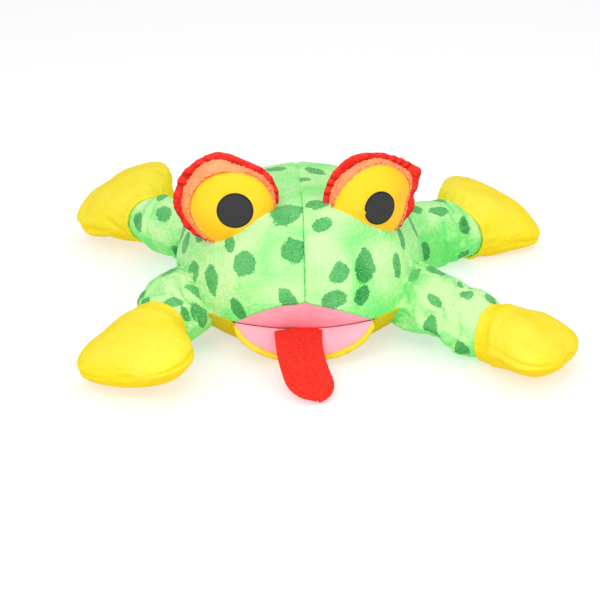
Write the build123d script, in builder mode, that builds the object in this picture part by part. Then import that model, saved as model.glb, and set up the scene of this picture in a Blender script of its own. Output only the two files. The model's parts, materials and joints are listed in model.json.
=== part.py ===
"""Plush frog hand puppet, lying on its belly with its mouth open.

Millimetres, +Z up. The origin is the middle of the flat patch of belly that the frog rests on.
The frog faces -Y, and +X is its own left. Every cloth panel, pad and pocket is its own solid.
"""

import os
from math import cos, radians, sin, sqrt

from build123d import *

# ---- trunk: a dome that is round in plan ----
SHOULDER_Z = 40.0          # height of the widest ring
SIDE_CENTRE = 26.0         # centre of the side arc, from the axis
SIDE_RADIUS = 60.0
BELLY_CENTRE = 46.0        # centre of the belly arc, and edge of the flat patch
CROWN_ANGLE = 12.0         # from upright, where the side arc meets the crown
SEAM_Z = 29.0              # green back above, yellow belly below
CLOTH = 3.0                # cloth and its pile
GAP = 0.2                  # between pieces that lie on each other
ROOM = 200.0               # side of a cutting block larger than the trunk

# ---- hand opening at the rear, an ellipse in X and Z ----
HAND_Z = 40.0
HAND_HALF_WIDTH = 41.0
HAND_HALF_HEIGHT = 29.0
LINING_FRONT = -42.0       # where the hand lining ends, behind the mouth
HEM_PROUD = 1.5

# ---- mouth: both linings fold at one line along X ----
FOLD = Vector(0, -69, 27)
PALATE_SLOPE = 54.0        # of the upper lining, above level
JAW_SLOPE = 58.4           # of the lower lining, below level
MOUTH_HALF_WIDTH = 46.0
LIP_RISE = 20.0            # upper lip's middle, above the seam
JAW_DEPTH = 26.4           # fold to lower lip
JAW_SECTOR = 66.0          # wedge angle of the jaw pad
FOLD_RADIUS = 1.2
FOLD_CLEAR = 2.2
BOARD = 1.5                # linings and boards
POCKET_START = 2 * (BOARD + GAP)  # lining, then board, then pocket
POCKET_CLOTH = 1.2
FINGERS_HALF_WIDTH = 38.0
FINGERS_DEPTH = 20.0
FINGERS_THICK = 12.0
THUMB_WIDTH = 28.0
THUMB_DEPTH = 16.0
THUMB_CENTRE = 11.0        # from the fold
THUMB_THICK = 3.6
THUMB_CLOTH = 1.0

# ---- tongue ----
TONGUE_ROOT = Vector(-4, -74, 23)
TONGUE_SLOPE = 19.6
TONGUE_YAW = 7.5
TONGUE_WIDTH = 30.0
TONGUE_LENGTH = 62.0
TONGUE_THICK = 1.6

# ---- eyes ----
EYE_RADIUS = 26.0
EYE_BULGE = 10.0
PUPIL_RADIUS = 12.4
RIM_RADIUS = 31.0
RIM_DEPTH = 8.0
RUFFLE_RADIUS = 34.5
RUFFLE_DEPTH = 3.5
BACK_BULGE = 6.0
EYES = {
    "right": {"centre": Vector(-46.5, -48, 101.5), "turn": 1.0},
    "left": {"centre": Vector(48.5, -48, 101.5), "turn": 17.0},
}
EYE_TILT = 4.0             # both eyes look slightly up
PUPIL_IN = 2.5             # pupil's offset towards the nose
PUPIL_DOWN = 2.0

# ---- limbs ----
WRIST_BALL = 13.0          # neck of the mitt's pad, which turns in the sleeve's pad
WRIST_CLEAR = 1.0
WRIST_GAP = 6.0            # each side of the wrist pivot
SLEEVE = 2.0               # sleeve and mitt cloth
TAPE = 1.2                 # seam tape round a limb's root
MITT_SECTIONS = (          # distance along the mitt, half width, half thickness
    (6.0, 17.5, 17.5),
    (15.0, 26.0, 19.5),
    (32.0, 38.0, 18.5),
    (48.0, 33.0, 13.5),
    (56.0, 20.0, 6.0),
)
ARM = {"ball": 21.0, "tube": 18.5}
LEG = {"ball": 22.5, "tube": 20.5}
LIMBS = {
    "arm_right": ARM | {
        "root": Vector(-82, -37, 30), "end": Vector(-97, -71, 26),
        "mitt_along": Vector(-0.30, -0.94, -0.12), "mitt_across": Vector(0.93, -0.31, 0.2),
    },
    "arm_left": ARM | {
        "root": Vector(82, -37, 29), "end": Vector(122, -77, 21.5),
        "mitt_along": Vector(0.84, -0.54, 0.04), "mitt_across": Vector(-0.54, -0.83, 0.12),
    },
    "leg_right": LEG | {
        "root": Vector(-65, 64, 28), "end": Vector(-113, 102, 32),
        "mitt_along": Vector(-0.45, 0.88, -0.02), "mitt_across": Vector(0.86, 0.40, 0.42),
    },
    "leg_left": LEG | {
        "root": Vector(65, 64, 28), "end": Vector(131, 91, 23),
        "mitt_along": Vector(0.66, 0.74, 0.06), "mitt_across": Vector(-0.81, 0.50, 0.30),
    },
}

UPPER, LOWER = -1, 1       # side of the mouth planes' X axis that a half of the mouth is on
BELLY_RADIUS = SIDE_CENTRE + SIDE_RADIUS - BELLY_CENTRE
FOLD_AXIS = Axis(FOLD, (1, 0, 0))
PALATE = Plane(
    origin=FOLD,
    x_dir=(1, 0, 0),
    z_dir=(0, sin(radians(PALATE_SLOPE)), cos(radians(PALATE_SLOPE))),
)
JAW = Plane(
    origin=FOLD,
    x_dir=(1, 0, 0),
    z_dir=(0, sin(radians(JAW_SLOPE)), -cos(radians(JAW_SLOPE))),
)

os.makedirs("parts", exist_ok=True)


def save(piece, name):
    """Label a finished piece and write its STEP file."""
    piece.part.label = name
    export_step(piece.part, f"parts/{name}.step")


def half_trunk(inset):
    """Half outline of the trunk, moved inwards by inset, to be turned about Z."""
    crown_r = SIDE_RADIUS + SIDE_CENTRE / sin(radians(CROWN_ANGLE)) - inset
    crown_z = SHOULDER_Z - SIDE_CENTRE / sin(radians(CROWN_ANGLE)) * cos(radians(CROWN_ANGLE))
    side = SIDE_RADIUS - inset
    belly = BELLY_RADIUS - inset
    joint = (SIDE_CENTRE + side * sin(radians(CROWN_ANGLE)),
             SHOULDER_Z + side * cos(radians(CROWN_ANGLE)))
    half = radians(CROWN_ANGLE / 2)
    middle = radians((CROWN_ANGLE + 90) / 2)
    with BuildSketch(Plane.XZ) as outline:
        with BuildLine():
            Line((0, inset), (0, crown_z + crown_r))
            ThreePointArc(
                (0, crown_z + crown_r),
                (crown_r * sin(half), crown_z + crown_r * cos(half)),
                joint,
            )
            ThreePointArc(
                joint,
                (SIDE_CENTRE + side * sin(middle), SHOULDER_Z + side * cos(middle)),
                (SIDE_CENTRE + side, SHOULDER_Z),
            )
            ThreePointArc(
                (SIDE_CENTRE + side, SHOULDER_Z),
                (BELLY_CENTRE + belly * sqrt(0.5), SHOULDER_Z - belly * sqrt(0.5)),
                (BELLY_CENTRE, SHOULDER_Z - belly),
            )
            Line((BELLY_CENTRE, SHOULDER_Z - belly), (0, inset))
        make_face()
    return outline.sketch


def trunk(inset):
    """The whole trunk, moved inwards by inset."""
    with BuildPart() as body:
        revolve(half_trunk(inset), axis=Axis.Z)
    return body.part


def half_ellipse(plane, half_width, depth, side=1):
    """Half an ellipse on the plane, on the +Y or -Y side of its X axis."""
    with BuildSketch(plane) as outline:
        Ellipse(half_width, depth)
        with Locations((0, -side * depth)):
            Rectangle(2 * half_width + 2, 2 * depth, mode=Mode.SUBTRACT)
    return outline.sketch


def fold_hole(radius):
    """Clearance round the fold line of the mouth."""
    with BuildPart() as hole:
        with BuildSketch(Plane(origin=FOLD - Vector(ROOM / 2, 0, 0), z_dir=(1, 0, 0))):
            Circle(radius)
        extrude(amount=ROOM)
    return hole.part


def hand_tunnel(inset, front):
    """The elliptical way for the hand, from a plane at y=front out past the rear."""
    with BuildPart() as way:
        with BuildSketch(Plane(origin=(0, front, HAND_Z), x_dir=(1, 0, 0), z_dir=(0, 1, 0))):
            Ellipse(HAND_HALF_WIDTH - inset, HAND_HALF_HEIGHT - inset)
        extrude(amount=SIDE_CENTRE + SIDE_RADIUS - front + 10)
    return way.part


def limb_sockets():
    """Round hollows in the trunk that the four limbs' roots turn in."""
    with BuildPart() as hollows:
        for limb in LIMBS.values():
            with Locations(limb["root"]):
                Sphere(limb["ball"] + TAPE + 4 * GAP)
    return hollows.part


def jaw_room():
    """The round space about the fold line that the jaw swings in."""
    half_width = MOUTH_HALF_WIDTH + 1
    with BuildPart() as room:
        with BuildSketch(Plane(origin=FOLD - Vector(half_width, 0, 0), z_dir=(1, 0, 0))):
            Circle(JAW_DEPTH + 1.2)
        extrude(amount=2 * half_width)
    return room.part


SOCKETS = limb_sockets()
JAW_ROOM = jaw_room()


# ---- trunk cloth ----
def back_panel(name, side):
    """One half of the green back and head, sewn to the other along the middle."""
    with BuildPart() as panel:
        revolve(half_trunk(0), axis=Axis.Z)
        revolve(half_trunk(CLOTH), axis=Axis.Z, mode=Mode.SUBTRACT)
        with Locations((0, 0, SEAM_Z + GAP - ROOM / 2)):
            Box(ROOM, ROOM, ROOM, mode=Mode.SUBTRACT)
        with Locations((-side * (ROOM - GAP) / 2, 0, 0)):
            Box(ROOM, ROOM, 2 * ROOM, mode=Mode.SUBTRACT)
        with BuildSketch(Plane(origin=(0, 0, SEAM_Z), x_dir=(1, 0, 0), z_dir=(0, -1, 0))):
            Ellipse(MOUTH_HALF_WIDTH, LIP_RISE)
        extrude(amount=ROOM / 2, mode=Mode.SUBTRACT)
        add(hand_tunnel(0, 40), mode=Mode.SUBTRACT)
        add(SOCKETS, mode=Mode.SUBTRACT)
    save(panel, name)


back_panel("back_panel_left", 1)
back_panel("back_panel_right", -1)

with BuildPart() as belly_panel:
    revolve(half_trunk(0), axis=Axis.Z)
    revolve(half_trunk(CLOTH), axis=Axis.Z, mode=Mode.SUBTRACT)
    with Locations((0, 0, SEAM_Z + ROOM / 2)):
        Box(ROOM, ROOM, ROOM, mode=Mode.SUBTRACT)
    add(hand_tunnel(0, 40), mode=Mode.SUBTRACT)
    add(SOCKETS, mode=Mode.SUBTRACT)
    add(JAW_ROOM, mode=Mode.SUBTRACT)
save(belly_panel, "belly_panel")

# ---- trunk pad: stuffing all round the hand, with a hollow behind the mouth ----
with BuildPart() as body_stuffing:
    revolve(half_trunk(CLOTH + GAP), axis=Axis.Z)
    add(hand_tunnel(0, LINING_FRONT + 1), mode=Mode.SUBTRACT)
    with Locations((0, LINING_FRONT + 1 - ROOM / 2, HAND_Z)):
        Box(2 * MOUTH_HALF_WIDTH + 4, ROOM, 2 * HAND_HALF_HEIGHT, mode=Mode.SUBTRACT)
    add(SOCKETS, mode=Mode.SUBTRACT)
    add(JAW_ROOM, mode=Mode.SUBTRACT)
save(body_stuffing, "body_stuffing")

# ---- hand lining and hem ----
with BuildPart() as hand_lining:
    add(hand_tunnel(GAP * 2, LINING_FRONT))
    add(hand_tunnel(GAP * 2 + 1.2, LINING_FRONT), mode=Mode.SUBTRACT)
    add(trunk(CLOTH + 1.3), mode=Mode.INTERSECT)
save(hand_lining, "hand_lining")

with BuildPart() as hem_binding:
    add(hand_tunnel(GAP, 30))
    add(hand_tunnel(3, 30), mode=Mode.SUBTRACT)
    add(trunk(-HEM_PROUD), mode=Mode.INTERSECT)
    add(trunk(CLOTH + 1), mode=Mode.SUBTRACT)
save(hem_binding, "hem_binding")


# ---- mouth, upper half ----
def mouth_plate(plane, half_width, depth, start, side):
    """A half-moon plate on one side of the fold line."""
    with BuildPart() as plate:
        extrude(half_ellipse(plane.offset(start), half_width, depth, side), amount=BOARD)
        add(fold_hole(FOLD_CLEAR), mode=Mode.SUBTRACT)
    return plate


palate_lining = mouth_plate(PALATE, MOUTH_HALF_WIDTH - 2, 27, 0, UPPER)
with palate_lining:
    add(trunk(CLOTH + GAP), mode=Mode.INTERSECT)
save(palate_lining, "upper_mouth_lining")

palate_board = mouth_plate(PALATE, MOUTH_HALF_WIDTH - 5, 22, BOARD + GAP, UPPER)
save(palate_board, "upper_mouth_board")

with BuildPart() as finger_pocket:
    extrude(half_ellipse(PALATE.offset(POCKET_START), FINGERS_HALF_WIDTH, FINGERS_DEPTH, UPPER),
            amount=FINGERS_THICK)
    extrude(half_ellipse(PALATE.offset(POCKET_START + POCKET_CLOTH),
                         FINGERS_HALF_WIDTH - POCKET_CLOTH, FINGERS_DEPTH - POCKET_CLOTH, UPPER),
            amount=FINGERS_THICK, mode=Mode.SUBTRACT)
    add(fold_hole(FOLD_CLEAR + 1), mode=Mode.SUBTRACT)
    add(trunk(CLOTH + GAP), mode=Mode.INTERSECT)
save(finger_pocket, "finger_pocket")

with BuildPart() as fold_tape:
    with BuildSketch(Plane(origin=FOLD - Vector(MOUTH_HALF_WIDTH - 4, 0, 0), z_dir=(1, 0, 0))):
        Circle(FOLD_RADIUS)
    extrude(amount=2 * (MOUTH_HALF_WIDTH - 4))
save(fold_tape, "mouth_fold_tape")

# ---- mouth, lower half: the jaw ----
save(mouth_plate(JAW, MOUTH_HALF_WIDTH - 3.5, JAW_DEPTH - 2.3, 0, LOWER), "lower_mouth_lining")
save(mouth_plate(JAW, MOUTH_HALF_WIDTH - 6, JAW_DEPTH - 5, BOARD + GAP, LOWER),
     "lower_mouth_board")

with BuildPart() as jaw_cover:
    revolve(half_ellipse(JAW, MOUTH_HALF_WIDTH - 1, JAW_DEPTH),
            axis=FOLD_AXIS, revolution_arc=JAW_SECTOR)
    revolve(half_ellipse(JAW, MOUTH_HALF_WIDTH - 3, JAW_DEPTH - 2),
            axis=FOLD_AXIS, revolution_arc=JAW_SECTOR, mode=Mode.SUBTRACT)
    add(fold_hole(FOLD_CLEAR), mode=Mode.SUBTRACT)
save(jaw_cover, "jaw_cover")

THUMB_PLANE = JAW.offset(POCKET_START)
with BuildPart() as thumb_pocket:
    with BuildSketch(THUMB_PLANE):
        with Locations((0, THUMB_CENTRE)):
            RectangleRounded(THUMB_WIDTH, THUMB_DEPTH, 5)
    extrude(amount=THUMB_THICK)
    with BuildSketch(THUMB_PLANE.offset(THUMB_CLOTH)):
        with Locations((0, THUMB_CENTRE - 2 * THUMB_CLOTH)):
            RectangleRounded(THUMB_WIDTH - 2 * THUMB_CLOTH, THUMB_DEPTH + 2 * THUMB_CLOTH, 4)
    extrude(amount=THUMB_THICK - 2 * THUMB_CLOTH, mode=Mode.SUBTRACT)
save(thumb_pocket, "thumb_pocket")

with BuildPart() as jaw_stuffing:
    revolve(half_ellipse(JAW, MOUTH_HALF_WIDTH - 3.4, JAW_DEPTH - 2.4),
            axis=FOLD_AXIS, revolution_arc=JAW_SECTOR - 2)
    extrude(half_ellipse(JAW, ROOM, ROOM), amount=POCKET_START, mode=Mode.SUBTRACT)
    with BuildSketch(THUMB_PLANE):
        with Locations((0, (THUMB_CENTRE + THUMB_DEPTH / 2) / 2)):
            Rectangle(THUMB_WIDTH + 4 * GAP, THUMB_CENTRE + THUMB_DEPTH / 2 + 4 * GAP)
    extrude(amount=THUMB_THICK + 2 * GAP, mode=Mode.SUBTRACT)
    add(fold_hole(FOLD_CLEAR + 3), mode=Mode.SUBTRACT)
save(jaw_stuffing, "jaw_stuffing")

# ---- tongue: one strip of felt with a rounded end ----
tongue_along = Vector(
    cos(radians(TONGUE_SLOPE)) * sin(radians(TONGUE_YAW)),
    -cos(radians(TONGUE_SLOPE)) * cos(radians(TONGUE_YAW)),
    -sin(radians(TONGUE_SLOPE)),
)
tongue_across = Vector(cos(radians(TONGUE_YAW)), sin(radians(TONGUE_YAW)), 0)
TONGUE = Plane(origin=TONGUE_ROOT, x_dir=tongue_along, z_dir=tongue_across.cross(tongue_along))
with BuildPart() as tongue:
    with BuildSketch(TONGUE):
        straight = TONGUE_LENGTH - TONGUE_WIDTH / 2 - 2
        with Locations((1 + straight / 2, 0)):
            Rectangle(straight, TONGUE_WIDTH)
        with Locations((1 + straight, 0)):
            Ellipse(TONGUE_WIDTH / 2 + 1, TONGUE_WIDTH / 2)
    extrude(amount=TONGUE_THICK / 2, both=True)
save(tongue, "tongue")


# ---- eyes: turned pockets, trimmed where they meet the head ----
HEAD_ROOM = trunk(-GAP)
DOME_RADIUS = (EYE_RADIUS ** 2 + EYE_BULGE ** 2) / (2 * EYE_BULGE)
DOME_CENTRE = EYE_BULGE - DOME_RADIUS
REAR = -(RIM_DEPTH + GAP + RUFFLE_DEPTH + GAP)


def on_circle(radius, x):
    """Height of a circle about the origin at x."""
    return sqrt(radius ** 2 - x ** 2)


def cap_line(centre, radius, height, front):
    """Arc from the axis out to a given height, on the front or rear of a circle about (centre, 0)."""
    way = 1 if front else -1
    pole = (centre + way * radius, 0)
    middle = (centre + way * on_circle(radius, height / 2), height / 2)
    edge = (centre + way * on_circle(radius, height), height)
    ThreePointArc(pole, middle, edge)
    return pole, edge


def cap_profile(plane, centre, outer, inner, height, front=True):
    """Half section of a shallow curved shell with a flat rim."""
    inner_height = sqrt(inner ** 2 - outer ** 2 + height ** 2)
    with BuildSketch(plane) as outline:
        with BuildLine():
            outer_pole, outer_edge = cap_line(centre, outer, height, front)
            inner_pole, inner_edge = cap_line(centre, inner, inner_height, front)
            Line(outer_edge, inner_edge)
            Line(inner_pole, outer_pole)
        make_face()
    return outline.sketch


def polygon_profile(plane, points):
    """Half section with straight sides."""
    with BuildSketch(plane) as outline:
        with BuildLine():
            Polyline(*points, close=True)
        make_face()
    return outline.sketch


def turned(name, profile, axis):
    """A piece of an eye, turned about its axis and trimmed to the head."""
    with BuildPart() as piece:
        revolve(profile, axis=axis)
        add(HEAD_ROOM, mode=Mode.SUBTRACT)
    save(piece, name)


def eye(side, centre, turn):
    """All the pieces of one eye."""
    facing = Vector(
        sin(radians(turn)) * cos(radians(EYE_TILT)),
        -cos(radians(turn)) * cos(radians(EYE_TILT)),
        sin(radians(EYE_TILT)),
    )
    lateral = Vector(cos(radians(turn)), sin(radians(turn)), 0)
    section = Plane(origin=centre, x_dir=facing, z_dir=lateral)
    axis = Axis(centre, facing)
    turned(f"eye_dome_{side}",
           cap_profile(section, DOME_CENTRE, DOME_RADIUS, DOME_RADIUS - 1.5, EYE_RADIUS), axis)

    inwards = PUPIL_IN if side == "right" else -PUPIL_IN
    dome_middle = centre + facing * DOME_CENTRE
    upwards = lateral.cross(facing) * -1
    look = (facing * DOME_RADIUS + lateral * inwards + upwards * -PUPIL_DOWN).normalized()
    pupil_section = Plane(origin=dome_middle, x_dir=look, z_dir=lateral)
    turned(f"eye_pupil_{side}",
           cap_profile(pupil_section, 0, DOME_RADIUS + 0.9, DOME_RADIUS + 0.1, PUPIL_RADIUS),
           Axis(dome_middle, look))

    rim_front = EYE_RADIUS + 0.5
    turned(f"eye_rim_{side}",
           polygon_profile(section, (
               (-GAP, rim_front - 2), (-GAP, rim_front),
               (-RIM_DEPTH, RIM_RADIUS), (-RIM_DEPTH, RIM_RADIUS - 2),
           )), axis)
    ruffle_front = -RIM_DEPTH - GAP
    ruffle_inner = RIM_RADIUS - 6
    turned(f"eye_ruffle_{side}",
           polygon_profile(section, (
               (ruffle_front, ruffle_inner), (ruffle_front, RUFFLE_RADIUS),
               (ruffle_front - RUFFLE_DEPTH, RUFFLE_RADIUS),
               (ruffle_front - RUFFLE_DEPTH, ruffle_inner),
           )), axis)
    back_edge = RIM_RADIUS - 1
    back_radius = (back_edge ** 2 + BACK_BULGE ** 2) / (2 * BACK_BULGE)
    back_centre = REAR - BACK_BULGE + back_radius
    turned(f"eye_back_{side}",
           cap_profile(section, back_centre, back_radius, back_radius - 1.8, back_edge,
                       front=False), axis)
    pad_front = DOME_RADIUS - 1.7
    pad_rear = back_radius - 2.2
    with BuildSketch(section) as pad:
        with BuildLine():
            front_pole, front_edge = cap_line(DOME_CENTRE, pad_front, EYE_RADIUS - 3, True)
            rear_pole, rear_edge = cap_line(back_centre, pad_rear, ruffle_inner - 0.5, False)
            Polyline(front_edge, (-RIM_DEPTH, ruffle_inner - 0.5), rear_edge)
            Line(rear_pole, front_pole)
        make_face()
    turned(f"eye_stuffing_{side}", pad.sketch, axis)


for side, place in EYES.items():
    eye(side, place["centre"], place["turn"])


# ---- limbs ----
def limb_section(root, end):
    """A plane through the limb's axis: X runs along the limb."""
    along = (end - root).normalized()
    across = along.cross(Vector(0, 0, 1)).normalized()
    return Plane(origin=root, x_dir=along, z_dir=across), Axis(root, along)


def tube_from_ball(ball, tube, start, length):
    """Outline from the ball at a limb's root to the end of its tube, as lines in a BuildLine."""
    meet = on_circle(ball, tube)
    first = (start, on_circle(ball, start))
    ThreePointArc(first, (0, ball), (meet, tube))
    Line((meet, tube), (length, tube))
    return first, (length, tube)


def seam_tape(name, section, axis, ball):
    """Tape ring that holds the limb's root seam, inside the trunk."""
    inner, outer = ball + 2 * GAP, ball + 2 * GAP + TAPE
    first, last = -15.0, -7.0
    middle = (first + last) / 2
    with BuildPart() as tape:
        with BuildSketch(section):
            with BuildLine():
                ThreePointArc((first, on_circle(outer, first)), (middle, on_circle(outer, middle)),
                              (last, on_circle(outer, last)))
                ThreePointArc((first, on_circle(inner, first)), (middle, on_circle(inner, middle)),
                              (last, on_circle(inner, last)))
                Line((first, on_circle(outer, first)), (first, on_circle(inner, first)))
                Line((last, on_circle(outer, last)), (last, on_circle(inner, last)))
            make_face()
        revolve(axis=axis)
    save(tape, name)


def sleeve(name, section, axis, ball, tube, length):
    """Cloth tube of a limb, open at both ends, with a rounded root."""
    start = -ball / 2
    with BuildPart() as cloth:
        with BuildSketch(section):
            with BuildLine():
                outer = tube_from_ball(ball, tube, start, length - WRIST_GAP)
                inner = tube_from_ball(ball - SLEEVE, tube - SLEEVE, start, length - WRIST_GAP)
                Line(outer[0], inner[0])
                Line(outer[1], inner[1])
            make_face()
        revolve(axis=axis)
    save(cloth, name)


def limb_pad(name, section, axis, ball, tube, length):
    """Stuffing of a sleeve, round at the root and hollowed for the mitt's neck."""
    socket = WRIST_BALL + WRIST_CLEAR
    rim = length - WRIST_GAP
    ball_r = ball - SLEEVE - GAP
    tube_r = tube - SLEEVE - GAP
    meet = on_circle(ball_r, tube_r)
    lip = on_circle(socket, WRIST_GAP)
    with BuildPart() as pad:
        with BuildSketch(section):
            with BuildLine():
                ThreePointArc((-ball_r, 0), (-ball_r * sqrt(0.5), ball_r * sqrt(0.5)), (0, ball_r))
                ThreePointArc((0, ball_r), (meet / 2, on_circle(ball_r, meet / 2)), (meet, tube_r))
                Polyline((meet, tube_r), (rim, tube_r), (rim, lip))
                ThreePointArc((rim, lip), (length - socket * sqrt(0.5), socket * sqrt(0.5)),
                              (length - socket, 0))
                Line((length - socket, 0), (-ball_r, 0))
            make_face()
        revolve(axis=axis)
    save(pad, name)


def mitt_solid(limb, inset):
    """Fan-shaped mitt or foot, wide across and flat, moved inwards by inset."""
    along = limb["mitt_along"].normalized()
    with BuildPart() as fan:
        for distance, half_width, half_thick in MITT_SECTIONS:
            last = distance == MITT_SECTIONS[-1][0]
            place = limb["end"] + along * (distance - inset if last else distance)
            with BuildSketch(Plane(origin=place, x_dir=limb["mitt_across"], z_dir=along)):
                Ellipse(half_width - inset, half_thick - inset)
        loft()
    return fan.part


def mitt(cover_name, pad_name, limb):
    """Yellow plush mitt and its stuffing, whose round neck sits in the sleeve."""
    with BuildPart() as cover:
        add(mitt_solid(limb, 0))
        add(mitt_solid(limb, SLEEVE), mode=Mode.SUBTRACT)
    save(cover, cover_name)
    with BuildPart() as pad:
        add(mitt_solid(limb, SLEEVE + GAP))
        with Locations(Plane(origin=limb["end"], z_dir=limb["mitt_along"])):
            Sphere(WRIST_BALL)
    save(pad, pad_name)


for name, limb in LIMBS.items():
    section, axis = limb_section(limb["root"], limb["end"])
    length = (limb["end"] - limb["root"]).length
    kind, side = name.split("_")
    tip = "mitt" if kind == "arm" else "foot"
    seam_tape(f"{kind}_seam_tape_{side}", section, axis, limb["ball"])
    sleeve(f"{kind}_sleeve_{side}", section, axis, limb["ball"], limb["tube"], length)
    limb_pad(f"{kind}_stuffing_{side}", section, axis, limb["ball"], limb["tube"], length)
    mitt(f"{tip}_cover_{side}", f"{tip}_stuffing_{side}", limb)
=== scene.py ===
"""Looks of the plush frog hand puppet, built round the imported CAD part.

The frog faces -Y and lies on its belly at z = 0. Shapes are worked out in millimetres in the frame's
own axes and turned into metres when a mesh is made. Every cloth panel is a closed sheet with a thickness.
"""

import json

import bmesh
import bpy
import numpy as np
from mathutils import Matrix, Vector


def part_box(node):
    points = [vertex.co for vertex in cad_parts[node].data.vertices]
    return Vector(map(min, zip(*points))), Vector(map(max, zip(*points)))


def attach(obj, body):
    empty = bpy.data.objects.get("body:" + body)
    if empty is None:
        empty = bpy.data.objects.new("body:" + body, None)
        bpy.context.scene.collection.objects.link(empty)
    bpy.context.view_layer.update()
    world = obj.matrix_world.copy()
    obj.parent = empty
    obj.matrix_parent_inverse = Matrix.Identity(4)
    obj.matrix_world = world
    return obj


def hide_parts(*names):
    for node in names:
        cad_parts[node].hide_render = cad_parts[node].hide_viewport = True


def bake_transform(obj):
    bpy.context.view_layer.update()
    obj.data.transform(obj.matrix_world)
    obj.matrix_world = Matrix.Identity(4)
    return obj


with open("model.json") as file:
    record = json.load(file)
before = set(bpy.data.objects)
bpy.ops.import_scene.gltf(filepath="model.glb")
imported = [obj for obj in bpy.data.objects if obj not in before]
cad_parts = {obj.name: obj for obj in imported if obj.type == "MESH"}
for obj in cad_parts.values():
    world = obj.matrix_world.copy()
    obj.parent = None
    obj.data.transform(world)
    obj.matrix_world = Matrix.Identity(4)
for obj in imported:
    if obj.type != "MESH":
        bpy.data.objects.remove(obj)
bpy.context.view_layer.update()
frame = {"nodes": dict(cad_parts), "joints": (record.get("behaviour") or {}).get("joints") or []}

MM = 0.001
TAU = 2 * np.pi
UP = np.array([0.0, 0.0, 1.0])


# ---- the frame's own measures
def corners(node):
    """Lowest and highest corner of a CAD node, in millimetres."""
    low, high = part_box(node)
    return np.array(low) / MM, np.array(high) / MM


def joint(name):
    """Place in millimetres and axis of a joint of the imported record."""
    found = next(j for j in frame["joints"] if j["name"] == name)
    return np.array(found["pos_m"]) / MM, np.array(found["axis"], float)


WAIST = corners("back_panel_left")[1][0]  # radius of the trunk at its widest
SEAM_Z = corners("back_panel_left")[0][2]  # lower edge of the green cloth
SHOULDER_Z = 40.0  # height of the widest ring
SIDE_RADIUS = 60.0  # arc of the side, seen from the front
SIDE_CENTRE = WAIST - SIDE_RADIUS
BELLY_FLAT = 46.0  # radius of the patch that lies on the ground
FOLD = joint("jaw_hinge")[0]
JAW_REACH = 26.4  # mouth fold to lower lip
MOUTH_HALF = 46.0  # half the mouth's width
CLOTH = 1.5  # thickness
LOW_MIDDLE = np.array([0.0, 0.0, 35.0])  # the trunk's cloth swells away from here
HIGH_MIDDLE = np.array([0.0, 0.0, 40.0])  # its edges roll and its hem lies away from here
HOLE = corners("hem_binding")  # rear opening
HOLE_MIDDLE, HOLE_HALF = (HOLE[0] + HOLE[1]) / 2, (HOLE[1] - HOLE[0]) / 2


# ---- numbers on arrays of points
def unit(v):
    v = np.asarray(v, float)
    return v / np.linalg.norm(v, axis=-1, keepdims=True)


def around(count):
    """Angles evenly round a full turn."""
    return np.linspace(0, TAU, count, endpoint=False)


def ease(x, start, end):
    """0 before start, 1 after end, smooth between them."""
    t = np.clip((np.asarray(x, float) - start) / (end - start), 0, 1)
    return t * t * (3 - 2 * t)


def bump(distance, width):
    """1 at distance 0, falling off smoothly over width."""
    return np.exp(-(np.asarray(distance) / width) ** 2)


def ripple(points, wavelength, seed, waves=14):
    """Smooth random field with about the given wavelength and values about -1 to 1."""
    rng = np.random.default_rng(seed)
    directions = unit(rng.normal(size=(waves, 3)))
    lengths = wavelength * rng.uniform(0.75, 1.35, waves)
    phases = rng.uniform(0, TAU, waves)
    angle = points @ (directions * (TAU / lengths)[:, None]).T + phases
    return np.sin(angle).sum(axis=-1) / np.sqrt(waves / 2) / 1.6


# ---- meshes
def mesh_piece(name, points, faces):
    """A smooth-shaded mesh object from points in millimetres."""
    mesh = bpy.data.meshes.new(name)
    mesh.from_pydata((np.asarray(points, float) * MM).tolist(), [], faces)
    mesh.validate()
    mesh.shade_smooth()
    piece = bpy.data.objects.new(name, mesh)
    bpy.context.scene.collection.objects.link(piece)
    return piece


def grid_faces(rows, columns, wrap, closed=False):
    """Quads between the points of a grid stored row by row; closed says that its last row meets the first."""
    faces = []
    for r in range(rows if closed else rows - 1):
        a, b = r * columns, (r + 1) % rows * columns
        for c in range(columns if wrap else columns - 1):
            n = (c + 1) % columns
            faces.append((a + c, a + n, b + n, b + c))
    return faces


def sheet(name, grid, wrap=False, closed=False, cap_start=False, cap_end=False):
    """A surface through a (rows, columns, 3) grid, with its open ends closed by a fan where asked."""
    rows, columns = grid.shape[:2]
    points = grid.reshape(-1, 3)
    faces = grid_faces(rows, columns, wrap, closed)
    for wanted, row in ((cap_start, 0), (cap_end, rows - 1)):
        if wanted:
            for c in range(columns):
                a, b = row * columns + c, row * columns + (c + 1) % columns
                faces.append((b, a, len(points)) if row == 0 else (a, b, len(points)))
            points = np.vstack([points, grid[row].mean(axis=0)])
    return mesh_piece(name, points, faces)


def read(piece, key):
    values = np.zeros(len(piece.data.vertices) * 3)
    piece.data.vertices.foreach_get(key, values)
    return values.reshape(-1, 3)


def points_of(piece):
    """The mesh's points in millimetres."""
    return read(piece, "co") / MM


def move_points(piece, points):
    piece.data.vertices.foreach_set("co", (points * MM).astype(np.float32).ravel())
    piece.data.update()


def set_value(piece, name, values):
    """A number on every point, for the material to read."""
    attribute = piece.data.attributes.get(name) or piece.data.attributes.new(name, "FLOAT", "POINT")
    attribute.data.foreach_set("value", np.asarray(values, np.float32))


def outward(piece):
    """Face normals all the same way round, outwards if the mesh is closed."""
    work = bmesh.new()
    work.from_mesh(piece.data)
    bmesh.ops.recalc_face_normals(work, faces=work.faces)
    work.to_mesh(piece.data)
    work.free()


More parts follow.
